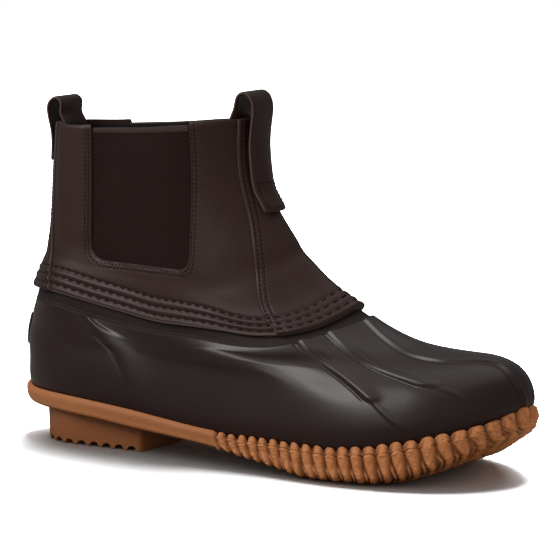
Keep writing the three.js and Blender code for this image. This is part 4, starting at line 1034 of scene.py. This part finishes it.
# The gores: elastic cloth in fine level ribs, let in behind the windows and sewn round them with two
# close rows. Its top edge is bound with a plain elastic tape.
GORE_WALL, GORE_SET = 1.4, 2.3
GORE_TOP = 10.38
GORE_ROWS, GORE_COLUMNS = 70, 60
gore_cloth, tree, shader, where = new_material("gore_elastic")
cloth = woven(tree, where, 0.00105, 0.00062, 0.35)
tone = toned(tree, where, 55.0, 1300.0, 0.3)
colour = mix_colours(tree, cloth.outputs["Ribs"], (0.0088, 0.0033, 0.0028, 1), (0.0170, 0.0072, 0.0062, 1))
patched = maths(tree, "MULTIPLY", tone.outputs["Patches"], 0.4)
colour = mix_colours(tree, patched, colour, (0.0190, 0.0082, 0.0070, 1))
bumped(tree, shader, cloth.outputs["Height"], 0.00028, 0.8)
finished(tree, shader, colour, 0.88, 0.06)
shader.inputs["Sheen Weight"].default_value = 0.03
shader.inputs["Sheen Roughness"].default_value = 0.5

tape_cloth, tree, shader, where = new_material("binding_tape")
cloth = woven(tree, where, 0.0006, 0.0009, 0.2)
colour = mix_colours(tree, cloth.outputs["Ribs"], (0.026, 0.0155, 0.0138, 1), (0.040, 0.025, 0.022, 1))
bumped(tree, shader, cloth.outputs["Height"], 0.0002, 0.6)
finished(tree, shader, colour, 0.8, 0.2)


def patch_solid(name, outer, inner, materials, edge_material=0):
    """A wall between two grids of the same size, closed along its four edges."""
    rows, columns = outer.shape[:2]
    base = rows * columns
    top = grid_faces(rows, columns, False, False)
    index = np.arange(base).reshape(rows, columns)
    rim_index = np.concatenate([index[0, :-1], index[:-1, -1], index[-1, :0:-1], index[:0:-1, 0]])
    ahead = np.roll(rim_index, -1)
    sides = np.stack([rim_index, ahead, ahead + base, rim_index + base], 1)
    faces = np.concatenate([top, top[:, ::-1] + base, sides[:, ::-1]])
    which = np.concatenate([np.zeros(2 * len(top)), np.full(len(sides), edge_material)])
    points = np.concatenate([outer.reshape(-1, 3), inner.reshape(-1, 3)])
    return add_mesh(name, points, faces, materials, which)


def gore_front(level):
    """The share of the way round at the window's front edge."""
    return 0.19 - 0.065 * (np.clip(level - 5.4, 0, None) / 5.1) ** 0.8


for side_name, inner_side in (("outer", False), ("inner", True)):
    gore_levels = np.linspace(6.72, GORE_TOP, GORE_ROWS)
    back_line = 0.362 + 0.002 * smooth((gore_levels - 6.5) / 3) + 0.03
    front_line = gore_front(gore_levels) - 0.035
    s = np.linspace(0, 1, GORE_COLUMNS)[None, :]
    gu = front_line[:, None] + (back_line - front_line)[:, None] * s
    gu = 1 - gu if inner_side else gu
    gl = np.broadcast_to(gore_levels[:, None], gu.shape)
    place, normal, per_u, per_level = surface(gu, gl)
    line = window_line(0.0, flared=False)
    inside_window = distance_to(line, place[..., 0], place[..., 2])
    # The cloth swells a little in the middle of its window.
    swell = 0.9 * smooth(inside_window / 22) * (np.abs(s - 0.5) < 0.42) * smooth((GORE_TOP - gl - 0.1) / 0.6)
    outer = place + normal * (-GORE_SET + swell)[..., None]
    inner = place + normal * (-GORE_SET - GORE_WALL + swell)[..., None]
    gore = weld(patch_solid("gore_cloth_" + side_name, outer, inner, [gore_cloth]))
    cut(gore, prism("gore_trim", window_line(3.6, flared=False), 80.0), "INTERSECT")
    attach(gore, "root")
    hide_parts("gore_medial" if inner_side else "gore_lateral")

    tape_rows = GORE_TOP + np.array([0.03, 0.03, -0.02, -0.09, -0.115])
    tape_out = np.array([-0.9, 0.15, 0.42, 0.40, 0.05])
    tape_in = np.array([-0.9, -GORE_WALL - 0.1, -GORE_WALL - 0.4, -GORE_WALL - 0.4, -GORE_WALL + 0.1])
    edge_u = np.linspace(0.128, 0.362, 60)
    edge_u = 1 - edge_u if inner_side else edge_u
    tu, tl = np.meshgrid(edge_u, tape_rows)
    near = skin(tu, tl, (tape_out - GORE_SET)[:, None])
    away = skin(tu, tl, (tape_in - GORE_SET)[:, None])
    tape = weld(patch_solid("gore_binding_" + side_name, near, away, [tape_cloth]))
    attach(tape, "root")

# The front panel and the back strip: leather laid over the shaft's seams, raw at their edges, and sewn
# down with two close rows. Both run under the pull straps and down through the sewn band.
OVERLAY_WALL = 1.3
# Their edges, as rows of level and share of the way round.
PANEL_EDGE = ((5.2, 0.1125), (6.17, 0.1025), (6.87, 0.089), (7.53, 0.0775), (8.3, 0.061), (9.07, 0.051),
              (9.67, 0.044), (10.5, 0.032))
STRIP_EDGE = ((5.2, 0.414), (6.0, 0.424), (7.33, 0.449), (8.9, 0.464), (10.5, 0.466))


def panel_edge(level):
    return curve_at(PANEL_EDGE, level)


def strip_edge(level):
    return curve_at(STRIP_EDGE, level)


def overlay_rise(from_edge, to_collar):
    soft = 1 - 0.35 * (1 - smooth(from_edge / 1.0)) - 0.35 * (1 - smooth(to_collar / 1.2))
    rows_pulled = 0.22 * bump(from_edge - 2.0, 0.5) + 0.22 * bump(from_edge - 4.6, 0.5)
    return 0.25 + OVERLAY_WALL * soft - rows_pulled


def overlay(name, edge, middle_u, columns, rows):
    """A strip that runs from the collar to the leather's edge, between an edge line and its mirror."""
    t = np.sin(np.linspace(-1, 1, columns) * np.pi / 2) * 0.5 + np.linspace(-1, 1, columns) * 0.5
    rise = np.linspace(0, 1, rows)[:, None]
    level = 5.35 + rise * (COLLAR - 5.35)
    half = np.abs(middle_u - edge(level))
    for _ in range(3):
        u = middle_u + t[None, :] * half
        bottom = leather_edge(u) + 0.02
        level = bottom + rise * (COLLAR - bottom)
        half = np.abs(middle_u - edge(level))
    u = middle_u + t[None, :] * half
    place, normal, per_u, per_level = surface(u, level)
    below = leather_relief(u, level, per_level)
    from_edge = (1 - np.abs(t))[None, :] * half * per_u
    to_collar = (COLLAR - level) * per_level
    top = below + overlay_rise(from_edge, to_collar)
    return weld(patch_solid(name, place + normal * top[..., None], place + normal * (below - 0.15)[..., None],
                            [leather, raw_edge], 1))


front_panel = overlay("front_panel_leather", panel_edge, 0.0, 120, 120)
back_strip = overlay("back_strip_leather", strip_edge, 0.5, 60, 110)
for piece, node in ((front_panel, "front_panel"), (back_strip, "back_strip")):
    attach(piece, "root")
    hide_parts(node)

# The pull loops: folded leather straps, sewn to the front panel and the back strip outside and to the
# lining inside. Their paths are in the boot's middle plane; the sides curl back round the shaft.
STRAP_WIDTH, STRAP_THICK, STRAP_ROOM = 20.0, 1.8, 0.7
LOOP_RISE = 13.0
STRAP_OUT = 0.6 + OVERLAY_WALL + STRAP_THICK / 2 + STRAP_ROOM
STRAP_IN = LEATHER_WALL + 0.6 + STRAP_THICK / 2 + STRAP_ROOM
# Distance from the collar's edge, a share of the strap's reach; height over the collar, in loop rises;
# share of the full curl.
FRONT_LOOP = ((1.04, -1.52, 0.7), (0.93, -0.76, 0.45), (1.0, 0, 0.25), (0.95, 0.61, 0.1), (0.44, 1.01, 0),
              (-0.38, 0.92, 0), (-0.81, 0.42, 0.1), (-1.0, -0.11, 0.7), (-1.0, -0.61, 0.76), (-0.81, -1.38, 0.76))
BACK_LOOP = ((0.78, -0.46, 0.77), (1.0, 0.23, 0.4), (0.76, 0.77, 0), (-0.14, 1.0, 0), (-0.93, 0.81, 0),
             (-0.79, 0.38, 0.15), (-0.93, 0.08, 0.7), (-1.05, -0.27, 1), (-0.95, -1.08, 1))


def smooth_path(points, steps):
    """Even steps along a smooth curve through points, by the root of their spacing."""
    gaps = np.sqrt(np.linalg.norm(np.diff(points, axis=0), axis=1))
    knots = np.concatenate([[0], np.cumsum(gaps)])
    bends = bends_of(knots, 0) @ points
    fine = np.linspace(0, knots[-1], 1500)
    i = span_of(knots, fine)
    h = (knots[i + 1] - knots[i])[:, None]
    line = between(points[i], points[i + 1], bends[i], bends[i + 1], h, (fine - knots[i])[:, None] / h)
    way = way_along(line[:, [0, 2]])
    even = np.linspace(0, way[-1], steps)
    return np.stack([np.interp(even, way, line[:, k]) for k in range(3)], 1), way[-1]


def pull_strap(name, middle_u, flat_levels, rows, stand, full_curl):
    away = 1 if middle_u == 0 else -1
    edge = last(middle_u, COLLAR)
    flat = skin(middle_u, np.array(flat_levels), STRAP_OUT)
    path = [(x, -away * full_curl, z) for x, _, z in flat]
    for along, rise, curl in rows:
        reach = STRAP_OUT + stand if along > 0 else STRAP_IN
        path.append((edge[0] + away * along * reach, -away * curl * full_curl, edge[2] + rise * LOOP_RISE))
    line, length = smooth_path(np.array(path), 150)
    tangent = -away * np.gradient(line[:, [0, 2]], axis=0)
    tangent /= np.linalg.norm(tangent, axis=1, keepdims=True)
    normal = np.stack([-tangent[:, 1], np.zeros(len(line)), tangent[:, 0]], 1)
    s = np.sin(np.linspace(-1, 1, 31) * np.pi / 2)
    soft_edge = 1 - 0.45 * (1 - smooth((1 - np.abs(s)) * STRAP_WIDTH / 2 / 1.1))
    along_way = np.linspace(0, length, len(line))

    def face(sign):
        end_soft = 1 - 0.4 * (1 - smooth(along_way / 1.0))
        thick = STRAP_THICK / 2 * soft_edge[None, :] * end_soft[:, None]
        pull = 0.16 * bump((1 - np.abs(s)) * STRAP_WIDTH / 2 - 2.0, 0.5)[None, :] * (along_way < 17)[:, None]
        points = np.repeat(line[:, None, :], len(s), 1) * [1, 0, 1]
        points[..., 0] += line[:, None, 1] * s[None, :] ** 2
        points[..., 1] = edge[1] + s[None, :] * STRAP_WIDTH / 2
        return points + normal[:, None, :] * (sign * (thick - pull))[..., None]

    strap = weld(patch_solid(name, face(1.0), face(-1.0), [leather, raw_edge], 1))
    return strap, line, normal, edge[1], along_way


front_strap = pull_strap("front_strap", 0.0, (8.2, 8.5, 8.8), FRONT_LOOP, 4.7, 3.4)
back_strap = pull_strap("back_strap", 0.5, (9.4, 9.7), BACK_LOOP, 1.8, 2.6)
for (strap, *_), node in ((front_strap, "front_pull_loop"), (back_strap, "back_pull_loop")):
    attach(strap, "root")
    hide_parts(node)

# The threads: waxed dark brown cord, sewn in short stitches. Each stitch is a little bent cord that dips
# into its holes at both ends; those of one seam are joined in one mesh.
THREAD_SIDES, THREAD_STEPS = 6, 7
cord, tree, shader, where = new_material("waxed_thread")
tone = toned(tree, where, 240.0, 2600.0, 0.4)
colour = mix_colours(tree, tone.outputs["Patches"], (0.0050, 0.0030, 0.0027, 1), (0.0120, 0.0072, 0.0062, 1))
twist = new_node(tree, "ShaderNodeTexNoise", {"Vector": where, "Scale": 2600.0, "Detail": 2.0})
bumped(tree, shader, twist.outputs["Fac"], 0.00012, 0.6)
finished(tree, shader, colour, 0.7, 0.15)


def sew(name, paths, normals, radius):
    """One mesh of cords along paths, an array of stitches by steps by x, y and z."""
    along = np.gradient(paths, axis=1)
    side = np.cross(along, normals)
    side /= np.linalg.norm(side, axis=2, keepdims=True)
    up = np.cross(side, along)
    up /= np.linalg.norm(up, axis=2, keepdims=True)
    turn = np.linspace(0, 2 * np.pi, THREAD_SIDES, endpoint=False)
    t = np.linspace(-1, 1, THREAD_STEPS)
    thick = radius * (1 - 0.6 * np.abs(t) ** 4)[None, :, None, None]
    points = paths[:, :, None] + thick * (np.cos(turn)[:, None] * side[:, :, None] +
                                          0.85 * np.sin(turn)[:, None] * up[:, :, None])
    tube = grid_faces(THREAD_STEPS, THREAD_SIDES, False, True)
    ends = np.array([(3, 2, 1, 0), (5, 4, 3, 0), (0, 1, 2, 3), (0, 3, 4, 5)])
    ends[2:] += (THREAD_STEPS - 1) * THREAD_SIDES
    one = np.concatenate([tube, ends])
    step = THREAD_STEPS * THREAD_SIDES
    faces = (one[None] + np.arange(len(paths))[:, None, None] * step).reshape(-1, 4)
    threads = weld(add_mesh(name, points.reshape(-1, 3), faces, [cord]))
    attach(threads, "root")


def stitch_spots(line, pitch, length, phase=0.5):
    """Places on a line of points, as stitches by steps, for indices with fractions along the line."""
    way = way_along(line)
    middles = np.arange(phase * pitch, way[-1] - length / 2, pitch)
    spots = middles[:, None] + np.linspace(-0.5, 0.5, THREAD_STEPS)[None, :] * length
    spots = spots[(spots[:, 0] > 0) & (spots[:, -1] < way[-1])]
    return np.interp(spots, way, np.arange(len(line)))


def take(values, spots):
    low = np.clip(spots.astype(int), 0, len(values) - 2)
    share = (spots - low)[..., None]
    return values[low] * (1 - share) + values[low + 1] * share


def sewn_row(line, normals, pitch, length, radius, dip=0.35, phase=0.5):
    spots = stitch_spots(line, pitch, length, phase)
    paths, up = take(line, spots), take(normals, spots)
    t = np.linspace(-1, 1, THREAD_STEPS)[None, :, None]
    return paths + up * (0.55 * radius - dip * np.abs(t) ** 3), up


# The lap seam: three rows through the leather and the rubber flap, long stitches between puckers.
lap_paths, lap_normals = [], []
for number, row in enumerate(STITCH_ROWS):
    turns = np.arange(SEAM_COUNT)[:, None] + 0.5 * (1 - number % 2) + 0.5
    turns = np.mod(turns, SEAM_COUNT) + np.linspace(-0.5, 0.5, THREAD_STEPS)[None, :] * SEAM_STITCH / SEAM_PITCH
    su = np.interp(np.mod(turns, SEAM_COUNT), seam_way / seam_way[-1] * SEAM_COUNT, seam_u)
    rise_here = surface(su, leather_edge(su) + 0.5)[3]
    sl = leather_edge(su) + row / rise_here
    place, normal, per_u, per_level = surface(su, sl)
    height = leather_relief(su, sl, per_level)
    covered = smooth((panel_edge(sl) - side_of(su)) * per_u / 1.0)
    covered = np.maximum(covered, smooth((side_of(su) - strip_edge(sl)) * per_u / 1.0))
    height += covered * (0.25 + OVERLAY_WALL)
    t = np.linspace(-1, 1, THREAD_STEPS)[None, :]
    lap_paths.append(place + normal * (height + 0.22 - 0.5 * np.abs(t) ** 3)[..., None])
    lap_normals.append(normal)
sew("lap_seam_threads", np.concatenate(lap_paths), np.concatenate(lap_normals), SEAM_THREAD)

# The rows round the windows, the edges of the front panel and the back strip, and the strap's end box.
FINE_PITCH, FINE_STITCH, FINE_THREAD = 2.35, 1.75, 0.3
window_paths, window_normals = [], []
for inner_side in (False, True):
    for row in WINDOW_ROWS:
        line = window_line(row)
        line = np.concatenate([line, line[:1]])
        steps = np.linspace(0, 1, 7)[:-1, None]
        line = np.concatenate([a * (1 - steps) + b * steps for a, b in zip(line[:-1], line[1:])])
        u, level = on_side(line[:, 0], line[:, 1], inner_side)
        start = int(np.argmax(level))
        u, level, line = np.roll(u, -start), np.roll(level, -start), np.roll(line, -start, 0)
        on_leather = level < COLLAR - 0.08
        u, level = u[on_leather], level[on_leather]
        place, normal, per_u, per_level = surface(u, level)
        height = shaft_rise(u, level, place, per_level)
        line = place + normal * height[:, None]
        paths, normals = sewn_row(line, normal, FINE_PITCH, FINE_STITCH, FINE_THREAD)
        whole = np.linalg.norm(paths[:, -1] - paths[:, 0], axis=1) < FINE_STITCH * 1.3
        window_paths.append(paths[whole])
        window_normals.append(normals[whole])
sew("window_threads", np.concatenate(window_paths), np.concatenate(window_normals), FINE_THREAD)

edge_paths, edge_normals = [], []
for edge, middle_u, rows_in in ((panel_edge, 0.0, (2.0, 4.6)), (strip_edge, 0.5, (2.0,))):
    for mirrored in (False, True):
        for inset in rows_in:
            level = np.linspace(5.62, COLLAR - 0.1, 240)
            toward = 1.0 if middle_u else -1.0
            u = edge(level)
            for _ in range(3):
                u = edge(level) + toward * inset / surface(u, level)[2]
            u = 1 - u if mirrored else u
            place, normal, per_u, per_level = surface(u, level)
            height = leather_relief(u, level, per_level) + overlay_rise(inset, (COLLAR - level) * per_level)
            paths, normals = sewn_row(place + normal * height[:, None], normal, FINE_PITCH, FINE_STITCH, FINE_THREAD)
            edge_paths.append(paths)
            edge_normals.append(normals)
sew("edge_threads", np.concatenate(edge_paths), np.concatenate(edge_normals), FINE_THREAD)

_, line, strap_normal, centre_y, along_way = front_strap
BOX_NEAR, BOX_FAR, BOX_SIDE = 1.9, 16.5, STRAP_WIDTH / 2 - 1.9


def on_strap(along, across):
    """Places on the front strap's outer face, by the way from its sewn end and from its middle."""
    middle = np.stack([np.interp(along, along_way, line[:, k]) for k in range(3)], -1)
    up = np.stack([np.interp(along, along_way, strap_normal[:, k]) for k in range(3)], -1)
    s = across / (STRAP_WIDTH / 2)
    spots = middle * [1, 0, 1]
    spots[..., 0] += middle[..., 1] * s ** 2
    spots[..., 1] = centre_y + across
    return spots + up * (STRAP_THICK / 2 - 0.1), up


box_paths, box_normals = [], []
for along, across in ((np.full(80, BOX_FAR), np.linspace(-BOX_SIDE, BOX_SIDE, 80)),
                      (np.full(80, BOX_NEAR), np.linspace(-BOX_SIDE, BOX_SIDE, 80)),
                      (np.linspace(BOX_NEAR, BOX_FAR, 80), np.full(80, BOX_SIDE)),
                      (np.linspace(BOX_NEAR, BOX_FAR, 80), np.full(80, -BOX_SIDE))):
    paths, normals = sewn_row(*on_strap(along, across), FINE_PITCH, FINE_STITCH, FINE_THREAD)
    box_paths.append(paths)
    box_normals.append(normals)
sew("strap_box_threads", np.concatenate(box_paths), np.concatenate(box_normals), FINE_THREAD)

# The lining: thin black woven cloth. It is glued inside the rubber and the leather, and hangs free behind
# the elastic gores, so that they can stretch.
LINING_WALL = 0.5
BEHIND_RUBBER, BEHIND_FLAP, BEHIND_LEATHER, BEHIND_GORE = -2.5, -4.35, -2.25, -4.4
black_cloth, tree, shader, where = new_material("black_lining")
cloth = woven(tree, where, 0.0008, 0.0008, 0.2)
colour = mix_colours(tree, cloth.outputs["Ribs"], (0.0035, 0.0032, 0.0032, 1), (0.0085, 0.0078, 0.0078, 1))
bumped(tree, shader, cloth.outputs["Height"], 0.0002, 0.7)
finished(tree, shader, colour, 0.9, 0.1)

lining_u = even_columns(300)
lining_levels = np.concatenate([np.linspace(0.1, 4.35, 12), np.linspace(5.6, 6.9, 9), np.linspace(7.1, 10.37, 24)])
uu, ll = np.meshgrid(lining_u, lining_levels)
side = side_of(uu)
front_line = gore_front(ll)
over_flap = (ll > 5) * (1 - smooth((ll - 6.38) / 0.3))
over_gore = smooth((ll - 6.3) / 0.35) * smooth((side - front_line + 0.04) / 0.025) * smooth((0.404 - side) / 0.025)
depth = BEHIND_RUBBER + (BEHIND_LEATHER - BEHIND_RUBBER) * smooth((ll - 6.4) / 0.3)
depth = depth + (BEHIND_FLAP - depth) * over_flap
depth = depth + (BEHIND_GORE - depth) * np.maximum(over_gore - over_flap, 0)
lining_rings = np.concatenate([skin(uu, ll, depth), skin(uu, ll, depth - LINING_WALL)[::-1]])
lining = weld(ring_solid("shaft_lining", lining_rings, [black_cloth]))
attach(lining, "root")

# The heel patch: a small rubber plate with rounded edges and a bare face, moulded at the back of the heel
# under the lip.
PATCH_HALF_U, PATCH_FOOT, PATCH_TOP = 0.016, 1.5, 3.35
pu, pl = np.meshgrid(0.5 + PATCH_HALF_U * np.sin(np.linspace(-1, 1, 29) * np.pi / 2),
                     PATCH_FOOT + (PATCH_TOP - PATCH_FOOT) * (1 - np.cos(np.linspace(0, 1, 41) * np.pi)) / 2)
place, normal, per_u, per_level = surface(pu, pl)
to_side = (PATCH_HALF_U - np.abs(pu - 0.5)) * per_u
to_end = np.minimum(pl - PATCH_FOOT, PATCH_TOP - pl) * per_level
edge_away = np.minimum(to_side, to_end)
rise = 0.3 + 1.75 * np.sqrt(np.clip(1 - (1 - np.clip(edge_away / 1.1, 0, 1)) ** 2, 0.02, 1))
heel_patch = weld(patch_solid("heel_patch_rubber", place + normal * rise[..., None],
                              place + normal * 0.1, [rubber]))
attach(heel_patch, "root")
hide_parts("heel_patch")

# The studio: a pale floor, a white surround and soft lights, and the camera at the photograph's angle.
def studio_light(name, place, aim, size, power, mirrored=True, floor_lit="EXCLUDE"):
    lamp = bpy.data.lights.new(name, "AREA")
    lamp.shape = "RECTANGLE"
    lamp.size, lamp.size_y = size
    lamp.energy = power
    holder = bpy.data.objects.new(name, lamp)
    holder.location = place
    holder.rotation_euler = (Vector(aim) - Vector(place)).to_track_quat("-Z", "Y").to_euler()
    holder.visible_glossy = mirrored
    bpy.context.scene.collection.objects.link(holder)
    lit = bpy.data.collections.new(name + "_on_floor")
    lit.objects.link(studio_floor)
    lit.collection_objects[0].light_linking.link_state = floor_lit
    holder.light_linking.receiver_collection = lit


floor_mesh = bpy.data.meshes.new("studio_floor")
SURROUND = 0.22
FLOOR_REACH = 3.0
floor_mesh.from_pydata([(-FLOOR_REACH, -FLOOR_REACH, 0), (FLOOR_REACH, -FLOOR_REACH, 0),
                        (FLOOR_REACH, FLOOR_REACH, 0), (-FLOOR_REACH, FLOOR_REACH, 0)], [], [(0, 1, 2, 3)])
pale, tree, shader, where = new_material("pale_floor")
# The floor is white to the eye and duller in the boot's reflections, like matt paper under a boot.
light_path = new_node(tree, "ShaderNodeLightPath").outputs
bounced = mix_colours(tree, light_path["Is Glossy Ray"], (0.26, 0.24, 0.22, 1), (0.07, 0.065, 0.06, 1))
seen_colour = mix_colours(tree, light_path["Is Camera Ray"], bounced, (0.92, 0.92, 0.92, 1))
tree.links.new(seen_colour, shader.inputs["Base Color"])
shader.inputs["Roughness"].default_value = 0.9
shader.inputs["Specular IOR Level"].default_value = 0.1
floor_mesh.materials.append(pale)
studio_floor = bpy.data.objects.new("studio_floor", floor_mesh)
bpy.context.scene.collection.objects.link(studio_floor)

world = bpy.data.worlds.new("studio_surround")
world.use_nodes = True
surround = world.node_tree.nodes["Background"]
surround.inputs["Color"].default_value = (1, 1, 1, 1)
seen = new_node(world.node_tree, "ShaderNodeLightPath").outputs["Is Camera Ray"]
dimmed = maths(world.node_tree, "MULTIPLY_ADD", seen, 1.0 - SURROUND, SURROUND)
world.node_tree.links.new(dimmed, surround.inputs["Strength"])
bpy.context.scene.world = world
studio_light("key_softbox", (-0.617, -1.068, 1.19), (0, 0, 0.08), (1.0, 0.85), 25)
studio_light("overhead_softbox", (0.1, 0.35, 1.9), (0, 0, 0.05), (2.0, 2.0), 11)
studio_light("backdrop_wash", (-0.9, 1.6, 2.2), (-1.2, 2.2, 0), (3.0, 2.0), 160, mirrored=False,
             floor_lit="INCLUDE")
studio_light("floor_light", (-0.15, 0.70, 1.9), (0, 0, 0), (0.8, 0.8), 130, mirrored=False, floor_lit="INCLUDE")
studio_light("toe_side_fill", (1.3, -1.0, 0.35), (0, 0, 0.05), (1.2, 1.0), 7, mirrored=False)
bpy.context.scene.view_settings.view_transform = "Standard"

CAMERA_PLACE = Vector((1125.2, -1564.5, 350.5))
CAMERA_YAW, CAMERA_PITCH, CAMERA_LENS = 31.83, 7.94, 227.7
camera = bpy.data.cameras.new("photo_camera")
camera.lens = CAMERA_LENS
camera.sensor_width = 36.0
camera.sensor_fit = "HORIZONTAL"
viewpoint = bpy.data.objects.new("photo_camera", camera)
viewpoint.location = (CAMERA_PLACE - Vector(MIDDLE)) * 0.001
viewpoint.rotation_euler = (math.radians(90 - CAMERA_PITCH), 0, math.radians(CAMERA_YAW))
bpy.context.scene.collection.objects.link(viewpoint)
bpy.context.scene.camera = viewpoint
